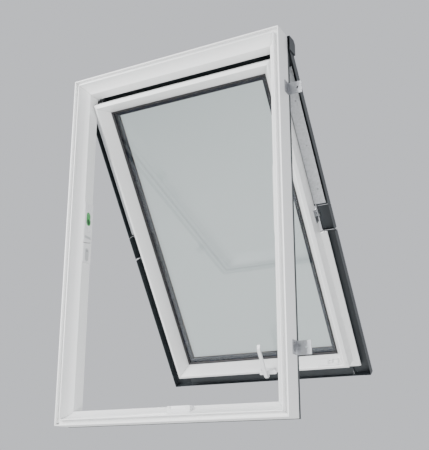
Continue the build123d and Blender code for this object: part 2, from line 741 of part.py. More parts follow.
# Striker on the sill: wedge that fills the cove, with a recess for the latch tongue
STRIKER_FLOOR = TONGUE_FACE + TONGUE_PLAY
STRIKER_FACE = STRIKER_FLOOR - STRIKER_RIM
with BuildSketch() as striker_section:
    with BuildLine():
        Polyline(
            (FRAME_BAR, STRIKER_FACE),
            (FRAME_BAR - STRIKER_REACH, STRIKER_FACE + STRIKER_SLOPE),
            (FRAME_BAR - STRIKER_REACH, COVE_DEPTH),
            (FRAME_BAR, COVE_DEPTH),
            close=True,
        )
    make_face()
    add(frame_outline.sketch, mode=Mode.SUBTRACT)
with BuildPart() as striker:
    left_end = STRIKER_LEFT - HANDLE_X
    with BuildSketch(section_plane("sill").offset(left_end)):
        add(striker_section.sketch)
    extrude(amount=-STRIKER_LEFT - STRIKER_RIGHT)
    fillet(
        striker.edges().filter_by(Axis.Y).group_by(Axis.Z)[0],
        radius=STRIKER_RIM,
    )
    recess_end = HANDLE_U - TONGUE_LENGTH - RECESS_MARGIN
    with BuildSketch(front_plane(STRIKER_FLOOR, HANDLE_X)):
        with Locations((0, recess_end)):
            Rectangle(2 * RECESS_HALF, FRAME_BAR - recess_end, align=(Align.CENTER, Align.MIN))
    extrude(amount=STRIKER_FLOOR, mode=Mode.SUBTRACT)
write(striker.part, "latch_striker")


# Arms: steel profile from each top hinge down to the pivot at mid height
arm_flange_top = AXIS_DEPTH + SHEET
arm_flange_end = STRIP_INNER
with BuildPart() as arm:
    with BuildSketch(cross_plane(ARM_WEB_PLACE, AXIS_DEPTH, TOP_HINGE_Z / 2)):
        SlotOverall(TOP_HINGE_Z + 2 * LUG_RADIUS, 2 * LUG_RADIUS)
    extrude(amount=LUG_THICK)
    arm_base = box_section(ARM_BASE_EDGE, ARM_BASE, ARM_WEB_RIGHT, ARM_BASE + ARM_PLATE)
    add(jamb_run(arm_base, ARM_START, ARM_TOP))
    arm_flange = box_section(
        ARM_WEB_RIGHT, arm_flange_top - ARM_PLATE, arm_flange_end, arm_flange_top
    )
    add(jamb_run(arm_flange, ARM_START, ARM_TOP + ARM_FLANGE_REACH))
    with BuildSketch(cross_plane(ARM_WEB_RIGHT, AXIS_DEPTH)):
        Circle(PIN_HEAD_RADIUS)
    extrude(amount=SASH_EDGE - PIVOT_PLATE - LUG_CLEARANCE - ARM_WEB_RIGHT)
    for bore_z in (0, TOP_HINGE_Z):
        with BuildSketch(cross_plane(ARM_WEB_PLACE, AXIS_DEPTH, bore_z)):
            Circle(PIN_RADIUS + PIN_CLEARANCE)
        extrude(amount=PIVOT_PLATE + LUG_THICK, mode=Mode.SUBTRACT)
write_pair(arm.part, "arm", write_open)

# Sheet covers over the arms, and the caps over the pivots
COVER_START = ARM_START - ARM_COVER_DROP
COVER_END = HALF_HEIGHT - ARM_COVER_TOP_GAP
arm_cover_sheet = sheet_section(
    (STRIP_INNER, arm_flange_top),
    (STRIP_INNER, STRIP_TOP),
    (-STRIP_OVERHANG, STRIP_TOP),
    (-STRIP_OVERHANG, SKIRT_END),
)
write_pair(jamb_run(arm_cover_sheet, COVER_START, COVER_END), "arm_cover", write_open)

cap_inner = ARM_WEB_RIGHT + SHEET
with BuildPart() as pivot_cap:
    cap_sheet = sheet_section(
        (cap_inner, STRIP_TOP - CAP_LIP),
        (cap_inner, STRIP_TOP),
        (-STRIP_OVERHANG, STRIP_TOP),
        (-STRIP_OVERHANG, SKIRT_END),
    )
    add(jamb_run(cap_sheet, -CAP_LOW, COVER_START - CAP_GAP))
    end_inner = -STRIP_OVERHANG + 2 * SHEET
    with BuildSketch() as cap_end:
        add(box_section(end_inner - SHEET, ARM_BASE, ARM_WEB_RIGHT, STRIP_TOP - SHEET))
        add(box_section(-STRIP_OVERHANG, SKIRT_END, end_inner, ARM_BASE))
    add(jamb_run(cap_end.sketch, -CAP_LOW, -CAP_LOW + SHEET))
write_pair(pivot_cap.part, "pivot_cap", write_open)

# Sash bars, with the bolt's bore through the right side
PIN_U, PIN_V = slope_point(BOLT_PIN_PLACE, BOLT_PIN_LIFT)
write_open(mitred_bar(sash_section.sketch, "head"), "sash_head")
write_open(mitred_bar(sash_section.sketch, "sill"), "sash_sill")
write_open(mitred_bar(sash_section.sketch, "left"), "sash_side_left")
with BuildPart() as sash_side_right:
    add(mitred_bar(sash_section.sketch, "right"))
    with BuildSketch(side_view(BOLT_RIGHT_END, PIN_V, PIN_U - HALF_HEIGHT)):
        Circle(BOLT_PIN_RADIUS + PIN_CLEARANCE)
    extrude(amount=SASH_BAR, mode=Mode.SUBTRACT)
write_open(sash_side_right.part, "sash_side_right")

sash_cores = core_tubes(SASH_CORE_LEFT, SASH_CORE_LOW, SASH_CORE_RIGHT, SASH_CORE_HIGH)
write_open(sash_cores, "sash_cores")

# Double glazing with its spacer, edge seal, setting blocks and gaskets
for label, depth in (("glass_inner", GLASS_BACK), ("glass_outer", GLASS_FRONT - PANE)):
    with BuildPart() as pane:
        with BuildSketch(front_plane(depth, 0, HALF_HEIGHT)):
            Rectangle(FRAME_WIDTH - 2 * GLASS_EDGE, FRAME_HEIGHT - 2 * GLASS_EDGE)
        extrude(amount=-PANE)
    write_open(pane.part, label)

cavity_low = GLASS_BACK + PANE
cavity_high = GLASS_FRONT - PANE
seal_inner = GLASS_EDGE + EDGE_SEAL
edge_seal = box_section(GLASS_EDGE, cavity_low, seal_inner, cavity_high)
write_open(mitred_ring(edge_seal), "glass_edge_seal")
spacer_bar = box_section(seal_inner, cavity_low, seal_inner + SPACER, cavity_high)
write_open(mitred_ring(spacer_bar), "glass_spacer")

block_row = box_section(REBATE, GLASS_BACK, GLASS_EDGE, GLASS_FRONT)
blocks = []
for side in ("head", "sill", "left", "right"):
    for end in (1, -1):
        start = end * (half_run(side) - GLASS_EDGE) / 2
        with BuildPart() as block:
            with BuildSketch(section_plane(side).offset(start)):
                add(block_row)
            extrude(amount=end * BLOCK_LENGTH)
        blocks.append(block.part)
write_open(Part() + blocks, "setting_blocks")

with BuildSketch() as gasket_section:
    with BuildLine():
        Polyline(
            (REBATE + BEDDING, LEDGE_DEPTH),
            (SASH_INNER, LEDGE_DEPTH),
            (SASH_INNER, LEDGE_DEPTH - GLASS_MARGIN),
            (SASH_INNER + GASKET_NOSE, LEDGE_DEPTH - GLASS_MARGIN),
            (SASH_INNER + GASKET_LIP, LEDGE_DEPTH + SHEET),
            (SASH_INNER + GASKET_LIP, GLASS_BACK),
            (REBATE + BEDDING, GLASS_BACK),
            close=True,
        )
    make_face()
write_open(mitred_ring(gasket_section.sketch), "glazing_gasket")

bead_outer = CLADDING_INNER - CLADDING_LIP + SHEET / 2
bead = box_section(bead_outer, GLASS_FRONT, SASH_INNER - SHEET, GLASS_FRONT + SHEET)
write_open(mitred_ring(bead), "outer_gasket")

# Folded sheets over the sash bars
cladding_sheet = sheet_section(
    (CLADDING_INNER, GLASS_FRONT + SHEET),
    (CLADDING_INNER, CLADDING_TOP),
    (CLADDING_OUTER, CLADDING_TOP),
    (CLADDING_OUTER, SASH_TOP + SHEET),
    (SASH_EDGE + SHEET / 2, SASH_TOP + SHEET),
)
for side in ("head", "sill", "left", "right"):
    write_open(mitred_bar(cladding_sheet, side), f"sash_cladding_{side}")

# Raised strips over the lower half of the sides, closed by a folded end
strip_low = -HALF_HEIGHT - DRIP_LOW_STEP
strip_points = (
    (STRIP_INNER, SASH_TOP + SHEET),
    (STRIP_INNER, STRIP_TOP),
    (-STRIP_OVERHANG, STRIP_TOP),
    (-STRIP_OVERHANG, SKIRT_END),
)
with BuildPart() as side_strip:
    add(jamb_run(sheet_section(*strip_points), strip_low, -PIVOT_CLEAR_RADIUS))
    with BuildSketch(section_plane("left").offset(strip_low)):
        with BuildLine():
            Polyline(
                *strip_points,
                (STRIP_INNER, SKIRT_END),
                close=True,
            )
        make_face()
    extrude(amount=SHEET)
write_pair(side_strip.part, "side_strip", write_open)

# Stepped drip sheet along the sill
drip_sheet = sheet_section(
    (DRIP_INNER, SASH_TOP + SHEET),
    (DRIP_INNER, CLADDING_TOP + SHEET),
    (DRIP_FACET, CLADDING_TOP - 2 * SHEET),
    (-DRIP_LOW_STEP, SASH_TOP),
    (-DRIP_LOW_STEP, SKIRT_END),
)
with BuildPart() as drip_strip:
    with BuildSketch(section_plane("sill")):
        add(drip_sheet)
    extrude(amount=HALF_WIDTH - STRIP_INNER - SHEET / 2, both=True)
write_open(drip_strip.part, "drip_strip")

# Flanges of the sash that lie over the frame's seal on the sill and the lower sides
flange = box_section(SASH_EDGE - FLANGE_WIDTH, FRAME_DEPTH + FLANGE_LIFT, SASH_EDGE, SASH_TOP)
write_open(mitred_bar(flange, "sill"), "sash_flange_sill")
with BuildPart() as flange_side:
    add(mitred_bar(flange, "left", ends=(-1,)))
    split(bisect_by=Plane.XY.offset(-PIVOT_CLEAR_RADIUS), keep=Keep.BOTTOM)
write_pair(flange_side.part, "sash_flange", write_open)

# Pivot plates on the sides of the sash, with their pins
plate_left = SASH_EDGE - PIVOT_PLATE
with BuildPart() as pivot_plate:
    with BuildSketch(cross_plane(plate_left, AXIS_DEPTH)):
        with Locations((0, -PIVOT_PLATE_DEPTH)):
            Rectangle(
                2 * PIVOT_PLATE_HALF, PIVOT_PLATE_DEPTH, align=(Align.CENTER, Align.MIN)
            )
        Circle(PIN_RADIUS + PIN_HEAD_RADIUS)
        Circle(PIN_RADIUS, mode=Mode.SUBTRACT)
    extrude(amount=PIVOT_PLATE)
    fillet(pivot_plate.edges().filter_by(Axis.X).group_by(Axis.Y)[0], radius=PIN_RADIUS)
write_open(with_mirror(pivot_plate.part), "pivot_plates")

pivot_pin_start = ARM_WEB_PLACE - LUG_CLEARANCE
pivot_pin = headed_pin(pivot_pin_start, SASH_EDGE, 0, (pivot_pin_start - PIN_HEAD,))
write_open(with_mirror(pivot_pin), "pivot_pins")

# Handle base: hollow housing that sits on the nose of the bottom rail
with BuildSketch() as base_section:
    base_low = HANDLE_U - BASE_LOW
    base_high = HANDLE_U + BASE_HIGH
    base_back = NOSE_DEPTH + (base_high - SASH_NOSE) / slope_run
    add(box_section(base_low, HANDLE_FRONT, base_high, base_back))
    add(sash_outline.sketch, mode=Mode.SUBTRACT)
with BuildPart() as handle_base:
    with BuildSketch(section_plane("sill").offset(BASE_LEFT - HANDLE_X)):
        add(base_section.sketch)
    extrude(amount=-BASE_LEFT - BASE_RIGHT)
    fillet(handle_base.edges().filter_by(Axis.Y), radius=BASE_CORNER)
    chamfer(handle_base.faces().sort_by(Axis.Y)[0].edges(), length=BASE_EDGE)
    pocket_front = HANDLE_FRONT + HANDLE_SHELL
    pocket_left = -TONGUE_LENGTH - HANDLE_SHELL
    pocket_right = TONGUE_WIDTH / 2 + TONGUE_PLAY
    with BuildSketch(front_plane(pocket_front, HANDLE_X)):
        with Locations((pocket_left, base_low)):
            Rectangle(
                pocket_right - pocket_left,
                BASE_LOW + BASE_HIGH - BASE_POCKET_RIM,
                align=(Align.MIN, Align.MIN),
            )
    extrude(amount=pocket_front - TONGUE_FACE - TONGUE_PLAY, mode=Mode.SUBTRACT)
    with BuildSketch(front_plane(HANDLE_FRONT, HANDLE_X, HANDLE_U)):
        Circle(SPINDLE_RADIUS + PIN_CLEARANCE)
    extrude(amount=-HANDLE_SHELL, mode=Mode.SUBTRACT)
write_open(handle_base.part, "handle_base")

# Handle lever turned up the slope, its bar bowed off the base, its tip bent back
HUB_Z = HANDLE_U - HALF_HEIGHT
bar_back = LEVER_BAR - LEVER_REACH
lever_corners = {
    (LEVER_HEEL, 0): None,
    (LEVER_HEEL, -HEEL_RISE): HEEL_BEND,
    (LEVER_HEEL - LEVER_BAR, -LEVER_REACH): HEEL_BEND,
    (LEVER_BEND - LEVER_LENGTH, -LEVER_REACH): TIP_OUTER_BEND,
    (-LEVER_LENGTH, LEVER_BEND - LEVER_REACH): TIP_ROUND,
    (TIP_THICK - LEVER_LENGTH, -TIP_GAP): TIP_ROUND,
    (TIP_RUN - LEVER_LENGTH, bar_back): TIP_INNER_BEND,
    (-LEVER_BEND, bar_back): NECK_BEND,
    (-LEVER_NECK, 0): None,
}
with BuildSketch() as lever_plan:
    with BuildLine():
        Polyline(*lever_corners, close=True)
    make_face()
    for place, radius in lever_corners.items():
        if radius:
            fillet(lever_plan.vertices().sort_by_distance(place)[0], radius=radius)
with BuildPart() as handle_lever:
    with BuildSketch(side_view(HANDLE_X, LEVER_BACK, HUB_Z)):
        add(lever_plan.sketch)
    extrude(amount=LEVER_WIDTH / 2, both=True)
    lever_sides = handle_lever.faces().sort_by(Axis.X)
    chamfer((lever_sides[0].edges(), lever_sides[-1].edges()), length=LEVER_EDGE)
    with BuildSketch(front_plane(LEVER_BACK, HANDLE_X, HANDLE_U)):
        Circle(SPINDLE_RADIUS)
    extrude(amount=LEVER_BACK - TONGUE_FACE)
write_open(handle_lever.part, "handle_lever")

# Latch tongue on the spindle, turned along the rail so that it clears the striker
with BuildPart() as latch_tongue:
    with BuildSketch(front_plane(TONGUE_FACE - TONGUE_THICK, HANDLE_X, HANDLE_U)):
        Circle(TONGUE_WIDTH / 2)
        with Locations((-TONGUE_LENGTH, 0)):
            Rectangle(TONGUE_LENGTH, TONGUE_WIDTH, align=(Align.MIN, Align.CENTER))
        Circle(SPINDLE_RADIUS, mode=Mode.SUBTRACT)
    extrude(amount=-TONGUE_THICK)
    chamfer(latch_tongue.edges().group_by(Axis.X)[0], length=TONGUE_PLAY)
write_open(latch_tongue.part, "latch_tongue")


def slope_view(x, lift=0):
    """Plane on the bottom rail's sloping face, x to the right and y up the slope."""
    run = Vector(0, SASH_NOSE - SASH_INNER, LEDGE_DEPTH - NOSE_DEPTH).normalized()
    nose_line = Vector(x, NOSE_DEPTH + ROOM_FACE, SASH_NOSE - HALF_HEIGHT)
    return Plane(origin=nose_line + run * lift, x_dir=(1, 0, 0), z_dir=run)


# Bolt housing on the right end of the bottom rail, open above the sliding carriage
channel_right = BOLT_RIGHT_END - BOLT_WALL
channel_left = channel_right - BOLT_TRAVEL - CARRIAGE_LENGTH - 2 * BOLT_CLEARANCE
channel_low = BOLT_PLACE + BOLT_RAIL
channel_width = BOLT_WIDTH - 2 * BOLT_RAIL
bolt_low = BOLT_RIGHT_END - BOLT_LENGTH
with BuildPart() as bolt_housing:
    with BuildSketch(slope_view(bolt_low)):
        with Locations((0, BOLT_PLACE)):
            Rectangle(BOLT_LENGTH, BOLT_WIDTH, align=(Align.MIN, Align.MIN))
    extrude(amount=BOLT_HEIGHT)
    bolt_face = bolt_housing.faces().sort_by(Axis(slope_view(0).origin, slope_view(0).z_dir))[-1]
    chamfer(bolt_face.edges(), length=BOLT_CHAMFER)
    with BuildSketch(slope_view(channel_left)):
        with Locations((0, channel_low)):
            Rectangle(channel_right - channel_left, channel_width, align=(Align.MIN, Align.MIN))
    extrude(amount=BOLT_HEIGHT, mode=Mode.SUBTRACT)
    with BuildSketch(side_view(channel_right, PIN_V, PIN_U - HALF_HEIGHT)):
        Circle(BOLT_PIN_RADIUS + PIN_CLEARANCE)
    extrude(amount=BOLT_WALL, mode=Mode.SUBTRACT)
write_open(bolt_housing.part, "bolt_housing")

# Sash bolt: carriage with a thumb ridge, and its round pin
carriage_left = channel_left + BOLT_CLEARANCE
carriage_right = carriage_left + CARRIAGE_LENGTH
carriage_width = channel_width - 2 * BOLT_CLEARANCE
carriage_middle = channel_low + channel_width / 2
with BuildPart() as sash_bolt:
    with BuildSketch(slope_view(carriage_left, BOLT_CLEARANCE)):
        with Locations((0, carriage_middle)):
            Rectangle(CARRIAGE_LENGTH, carriage_width, align=(Align.MIN, Align.CENTER))
    extrude(amount=CARRIAGE_HEIGHT)
    carriage_top = BOLT_CLEARANCE + CARRIAGE_HEIGHT
    with BuildSketch(slope_view(carriage_left + RIDGE_WIDTH, carriage_top)):
        with Locations((0, carriage_middle)):
            Rectangle(RIDGE_WIDTH, carriage_width, align=(Align.MIN, Align.CENTER))
    extrude(amount=RIDGE_RISE)
    with BuildSketch(side_view(carriage_right, PIN_V, PIN_U - HALF_HEIGHT)):
        Circle(BOLT_PIN_RADIUS)
    extrude(amount=BOLT_PIN_END - carriage_right)
    chamfer(sash_bolt.edges().group_by(Axis.X)[-1], length=BOLT_CHAMFER / 2)
write_open(sash_bolt.part, "sash_bolt")
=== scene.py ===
import json
import math

import bmesh
import bpy
from bpy.props import FloatProperty, FloatVectorProperty, PointerProperty
from mathutils import Matrix, Vector


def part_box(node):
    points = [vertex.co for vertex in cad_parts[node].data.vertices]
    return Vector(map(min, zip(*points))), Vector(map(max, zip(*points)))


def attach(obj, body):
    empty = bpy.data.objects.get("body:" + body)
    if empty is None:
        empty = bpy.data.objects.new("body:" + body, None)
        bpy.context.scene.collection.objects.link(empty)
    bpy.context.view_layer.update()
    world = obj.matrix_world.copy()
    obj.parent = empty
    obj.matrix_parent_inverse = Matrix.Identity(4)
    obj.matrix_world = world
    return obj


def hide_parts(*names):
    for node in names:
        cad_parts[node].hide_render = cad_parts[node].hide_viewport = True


bl_info = {
    "name": "Roof Window Finisher",
    "version": (1, 0, 0),
    "blender": (4, 5, 0),
    "location": "3D View > Sidebar > Roof Window",
    "description": "Rounds, paints and fits out the roof window and sets its studio",
    "category": "Object",
}

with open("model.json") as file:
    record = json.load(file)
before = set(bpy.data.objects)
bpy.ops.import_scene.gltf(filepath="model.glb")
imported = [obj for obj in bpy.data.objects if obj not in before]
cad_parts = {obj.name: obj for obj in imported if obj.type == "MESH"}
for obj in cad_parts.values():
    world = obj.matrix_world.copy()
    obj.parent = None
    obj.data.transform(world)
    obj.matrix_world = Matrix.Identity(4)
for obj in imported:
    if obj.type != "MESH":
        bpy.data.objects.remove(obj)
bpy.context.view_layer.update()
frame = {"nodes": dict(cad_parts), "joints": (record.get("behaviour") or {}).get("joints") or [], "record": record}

MM = 0.001
TOP_HINGE = frame["joints"][0]
HINGE_PLACE = Vector(TOP_HINGE["pos_m"])
SWING = (
    Matrix.Translation(HINGE_PLACE)
    @ Matrix.Rotation(math.radians(TOP_HINGE["range_deg"][1]), 4, "X")
    @ Matrix.Translation(-HINGE_PLACE)
)
SWUNG_BODIES = ("arms", "sash", "handle", "sash_bolt")
MIRROR = Matrix.Scale(-1, 4, (1, 0, 0))
HANDS = {"left": Matrix(), "right": MIRROR}
FRAME_HALF_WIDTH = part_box("frame_head")[1].x
FRAME_HALF_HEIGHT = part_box("frame_side_left")[1].z
ROOM_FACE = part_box("frame_side_left")[0].y

# Places in the closed window's section, in millimetres from the frame's edge and from its room face
HOUSING_FACE = 46.3
SLIDER_FACE = 43.5
HARDWARE_DEPTH = 58.0
RING_PLACE = 78.3
RING_HOLLOW = (8.2 * MM, 10.0 * MM)
ARROW_PLACE = 102.5
UPPER_SIGN_PLACE = 128.0
LOWER_SIGN_PLACE = 49.0
PLATE_SCREW = (45.3, -23.0)
RAMP_FLOOR = ((46.2, 41.0), (44.5, 76.8))
RAMP_PLACE = 24.7
RAMP_WIDTH = 8.8
TOP_HINGE_HEIGHT = 556.0
STRIP_FACE = 99.3
STRIP_END = -596.0
PIVOT_FACE = 47.0
HOOD_FACE = 118.0

# The bolt's thumb piece, on the bottom rail's sloping face:
# x to the right, y up the slope, z off it
RAIL_NOSE = (62.0, 18.0)
RAIL_SLOPE = Vector((0, 44, 28)).normalized()
THUMB_TOP = 6.3
THUMB_RIDGE_END = 271.1
NOTCH_MARGIN = 1.0
NOTCH_DEPTH = 1.5
NOTCH_WIDTHS = (4.0, 2.0)
NOTCH_LEAN = 0.05

# The folded corner and the tab at each strip's closed end, as opposite corners in the section
SHEET_THICK = 0.8
FOLD_LOW = (-4.6, 71.6)
FOLD_HIGH = (17.0, 98.6)
TAB_LOW = (21.0, 71.6)
TAB_HIGH = (29.0, 76.0)

# The sealant bead inside the spacer
SEALANT_OUTER = 107.6
SEALANT_INNER = 109.2
SEALANT_DEPTH = 84.4
SEALANT_THICK = 1.4

# Screws and rivets: a place in the section, or one coordinate of it,
# and heights or shifts up the slope
HINGE_SCREW = (27.0, 83.0)
HINGE_SCREW_SHIFTS = (-20, 20)
ROOF_SCREW = (-2.5, 47.0)
ROOF_BRACKET_HEIGHTS = (-400, 400)
ROOF_SCREW_SHIFTS = (-11, 11)
SHEET_SCREW_PLACE = 28.0
STRIP_SCREW_HEIGHTS = (-545, -110)
COVER_SCREW_HEIGHTS = (110, 480)
HOOD_SCREW_DROP = 30
HOOD_SCREW_PLACES = (60.0, 390.0)
PIVOT_SCREW_DEPTH = 70.0
PIVOT_SCREW_HEIGHTS = (-15, 15)
RIVET = (21.0, 82.0)
RIVET_HEIGHTS = (90, 240, 390)

# Signs and arrows, as points up the slope and outwards from the middle of each
FRAME_STROKE = ((10, -5), (-10, -5))
TOP_HUNG_STROKE = ((10, -5), (-8, 4))
PIVOTED_STROKE = ((10, -9), (-10, 3))
POINTER_STROKE = ((-10, 7), (-2, 7), (-4.5, 5), (-2, 7), (-4.5, 9))
ARROW_OUTLINE = ((-3, -6), (3, -6), (3, 0), (6.5, 0), (0, 6.5), (-6.5, 0), (-3, 0))
SIGN_LINE = 0.22
ARROW_LINE = 0.25
# Thickness of the grey sheet of painted shade on each guide ramp
RAMP_SHADE_THICK = 0.4
GASKET_EDGE = 0.4

# Studio: each lamp's name, place, size and share of the power
FLOOR_RADIUS = 12.0
CAMERA_AIM = Vector((0.0, 0.25, 0.09))
LAMP_AIM = Vector((0, 0.2, 0))
LAMPS = (
    ("room_light", (-1.8, -2.6, 1.0), 2.0, 1.0),
    ("low_light", (2.2, -2.0, -1.2), 1.4, 0.3),
    ("roof_light", (-1.2, 2.4, 2.4), 2.0, 1.0),
)

GRAIN_STRENGTH = 0.3
GLOSS_SPREAD = 0.2

WELD_DISTANCE = 1e-6
FLAT_ANGLE = math.radians(0.4)
EDGE_ANGLE = math.radians(30)
BODY_OF = {
    node: body
    for body, members in frame["record"]["behaviour"]["bodies"].items()
    for node in members
}
SIDES = ("left", "right")


# Node groups


def new_group(name, inputs, outputs):
    """An empty shader node group with named sockets, and its two end nodes."""
    group = bpy.data.node_groups.new(name, "ShaderNodeTree")
    for label, kind, default in inputs:
        socket = group.interface.new_socket(label, in_out="INPUT", socket_type=kind)
        if default is not None:
            socket.default_value = default
    for label in outputs:
        group.interface.new_socket(label, in_out="OUTPUT", socket_type="NodeSocketFloat")
    return group, group.nodes.new("NodeGroupInput"), group.nodes.new("NodeGroupOutput")


def math_node(tree, operation, *values):
    """The result of a Math node whose inputs are numbers or other nodes' sockets."""
    node = tree.nodes.new("ShaderNodeMath")
    node.operation = operation
    for socket, value in zip(node.inputs, values):
        if isinstance(value, bpy.types.NodeSocket):
            tree.links.new(value, socket)
        else:
            socket.default_value = value
    return node.outputs[0]


def surface_grain():
    """Group: a fine grain for bumps and a broad mottle for tone and gloss."""
    group, start, end = new_group(
        "Surface grain",
        (
            ("Vector", "NodeSocketVector", None),
            ("Grain Scale", "NodeSocketFloat", 900.0),
            ("Mottle Scale", "NodeSocketFloat", 9.0),
        ),
        ("Grain", "Mottle"),
    )
    for label, detail in (("Grain", 2.0), ("Mottle", 4.0)):
        noise = group.nodes.new("ShaderNodeTexNoise")
        noise.inputs["Detail"].default_value = detail
        group.links.new(start.outputs["Vector"], noise.inputs["Vector"])
        group.links.new(start.outputs[f"{label} Scale"], noise.inputs["Scale"])
        group.links.new(noise.outputs["Fac"], end.inputs[label])
    return group


def zinc_flowers():
    """Group: the soft-edged crystals of a zinc coat."""
    group, start, end = new_group(
        "Zinc flowers",
        (("Vector", "NodeSocketVector", None), ("Scale", "NodeSocketFloat", 180.0)),
        ("Flower",),
    )
    cells = group.nodes.new("ShaderNodeTexVoronoi")
    cells.feature = "SMOOTH_F1"
    cells.inputs["Smoothness"].default_value = 0.4
    group.links.new(start.outputs["Vector"], cells.inputs["Vector"])
    group.links.new(start.outputs["Scale"], cells.inputs["Scale"])
    shade = group.nodes.new("ShaderNodeSeparateColor")
    group.links.new(cells.outputs["Color"], shade.inputs["Color"])
    group.links.new(shade.outputs["Red"], end.inputs["Flower"])
    return group


def mitre_seam():
    """Group: a mask of the thin seams where the bars of a ring meet at its corners."""
    group, start, end = new_group(
        "Mitre seam",
        (
            ("Vector", "NodeSocketVector", None),
            ("Half Width", "NodeSocketFloat", FRAME_HALF_WIDTH),
            ("Half Height", "NodeSocketFloat", FRAME_HALF_HEIGHT),
            ("Line Width", "NodeSocketFloat", 0.0005),
        ),
        ("Seam",),
    )
    split = group.nodes.new("ShaderNodeSeparateXYZ")
    group.links.new(start.outputs["Vector"], split.inputs[0])
    insets = []
    for axis, size in (("X", "Half Width"), ("Z", "Half Height")):
        reach = math_node(group, "ABSOLUTE", split.outputs[axis])
        insets.append(math_node(group, "SUBTRACT", start.outputs[size], reach))
    distance = math_node(group, "ABSOLUTE", math_node(group, "SUBTRACT", *insets))
    share = math_node(group, "DIVIDE", distance, start.outputs["Line Width"])
    fade = math_node(group, "SUBTRACT", 1.0, share)
    group.links.new(math_node(group, "MAXIMUM", fade, 0.0), end.inputs["Seam"])
    return group


def oval_mask():
    """Group: a mask of an oval seen along X, such as the hollow of a slider's finger ring."""
    group, start, end = new_group(
        "Oval mask",
        (
            ("Vector", "NodeSocketVector", None),
            ("Centre Y", "NodeSocketFloat", 0.0),
            ("Centre Z", "NodeSocketFloat", 0.0),
            ("Radius Y", "NodeSocketFloat", 0.01),
            ("Radius Z", "NodeSocketFloat", 0.01),
        ),
        ("Mask",),
    )
    split = group.nodes.new("ShaderNodeSeparateXYZ")
    group.links.new(start.outputs["Vector"], split.inputs[0])
    squares = []
    for axis in "YZ":
        offset = math_node(
            group, "SUBTRACT", split.outputs[axis], start.outputs[f"Centre {axis}"]
        )
        share = math_node(group, "DIVIDE", offset, start.outputs[f"Radius {axis}"])
        squares.append(math_node(group, "MULTIPLY", share, share))
    total = math_node(group, "ADD", *squares)
    group.links.new(math_node(group, "LESS_THAN", total, 1.0), end.inputs["Mask"])
    return group


GROUPS = {}


def shared(maker):
    """A node group, which is built at its first use."""
    if maker not in GROUPS:
        GROUPS[maker] = maker()
    return GROUPS[maker]


# Materials


class Finish:
    """A material in the making: a Principled shader on a piece's Object coordinates."""

    def __init__(self, name, swung=False):
        self.material = bpy.data.materials.new(name)
        self.material.use_nodes = True
        self.tree = self.material.node_tree
        self.shader = self.tree.nodes["Principled BSDF"]
        self.place = self.tree.nodes.new("ShaderNodeTexCoord").outputs["Object"]
        if swung:
            back = SWING.inverted()
            mapping = self.tree.nodes.new("ShaderNodeMapping")
            mapping.inputs["Location"].default_value = back.to_translation()
            mapping.inputs["Rotation"].default_value = back.to_euler()
            self.tree.links.new(self.place, mapping.inputs["Vector"])
            self.place = mapping.outputs["Vector"]

    def group(self, maker, **values):
        """Places a node group on the piece's coordinates with its own values."""
        node = self.tree.nodes.new("ShaderNodeGroup")
        node.node_tree = shared(maker)
        self.tree.links.new(self.place, node.inputs["Vector"])
        for label, value in values.items():
            node.inputs[label.replace("_", " ")].default_value = value
        return node

    def ramp(self, value, low, high):
        """Maps a value from 0 to 1 onto a range."""
        node = self.tree.nodes.new("ShaderNodeMapRange")
        node.inputs["To Min"].default_value = low
        node.inputs["To Max"].default_value = high
        self.tree.links.new(value, node.inputs["Value"])
        return node.outputs["Result"]

    def mix(self, share, first, second):
        """Mixes two colours, each a colour or another node's socket."""
        node = self.tree.nodes.new("ShaderNodeMix")
        node.data_type = "RGBA"
        self.tree.links.new(share, node.inputs["Factor"])
        colours = [socket for socket in node.inputs if socket.type == "RGBA"]
        for socket, value in zip(colours, (first, second)):
            if isinstance(value, bpy.types.NodeSocket):
                self.tree.links.new(value, socket)
            else:
                socket.default_value = (*value[:3], 1.0)
        return next(socket for socket in node.outputs if socket.type == "RGBA")

    def bump(self, height, strength, distance, under=None):
        """A bump whose height comes from a socket."""
        node = self.tree.nodes.new("ShaderNodeBump")
        node.inputs["Strength"].default_value = strength
        node.inputs["Distance"].default_value = distance
        self.tree.links.new(height, node.inputs["Height"])
        if under:
            self.tree.links.new(under, node.inputs["Normal"])
        return node.outputs["Normal"]

    def feed(self, label, socket):
        """Feeds a socket of the shader."""
        self.tree.links.new(socket, self.shader.inputs[label])

    def fix(self, **values):
        """Sets plain numbers on the shader's own sockets."""
        for label, value in values.items():
            self.shader.inputs[label.replace("_", " ")].default_value = value


def shade(colour, factor):
    """The same colour, lighter or darker."""
    return tuple(min(1.0, part * factor) for part in colour)


def grained(name, colour, roughness, grain, mottle, depth, spread, swung=False):
    """A finish with mottled tone and gloss, and a fine grain."""
    finish = Finish(name, swung)
    surface = finish.group(surface_grain, Grain_Scale=grain, Mottle_Scale=mottle)
    finish.tone = finish.mix(
        surface.outputs["Mottle"], shade(colour, 1 - spread), shade(colour, 1 + spread)
    )
    finish.normal = finish.bump(surface.outputs["Grain"], GRAIN_STRENGTH, depth)
    finish.feed("Base Color", finish.tone)
    low, high = roughness * (1 - GLOSS_SPREAD), roughness * (1 + GLOSS_SPREAD)
    finish.feed("Roughness", finish.ramp(surface.outputs["Mottle"], low, high))
    finish.feed("Normal", finish.normal)
    return finish


def white_profile(part, looks, swung):
    """White extruded profile with its satin skin and welded mitres."""
    white = grained(
        f"White profile of the {part}", looks.profile_white, 0.32, 500, 3, 4e-5, 0.015, swung
    )
    white.fix(Coat_Weight=0.15, Coat_Roughness=0.2, IOR=1.53)
    seam = white.group(mitre_seam, Line_Width=looks.seam_width).outputs["Seam"]
    white.feed("Base Color", white.mix(seam, white.tone, shade(looks.profile_white, 0.5)))
    white.feed("Normal", white.bump(white.ramp(seam, 0.0, -1.0), 0.6, 1e-4, white.normal))
    return white


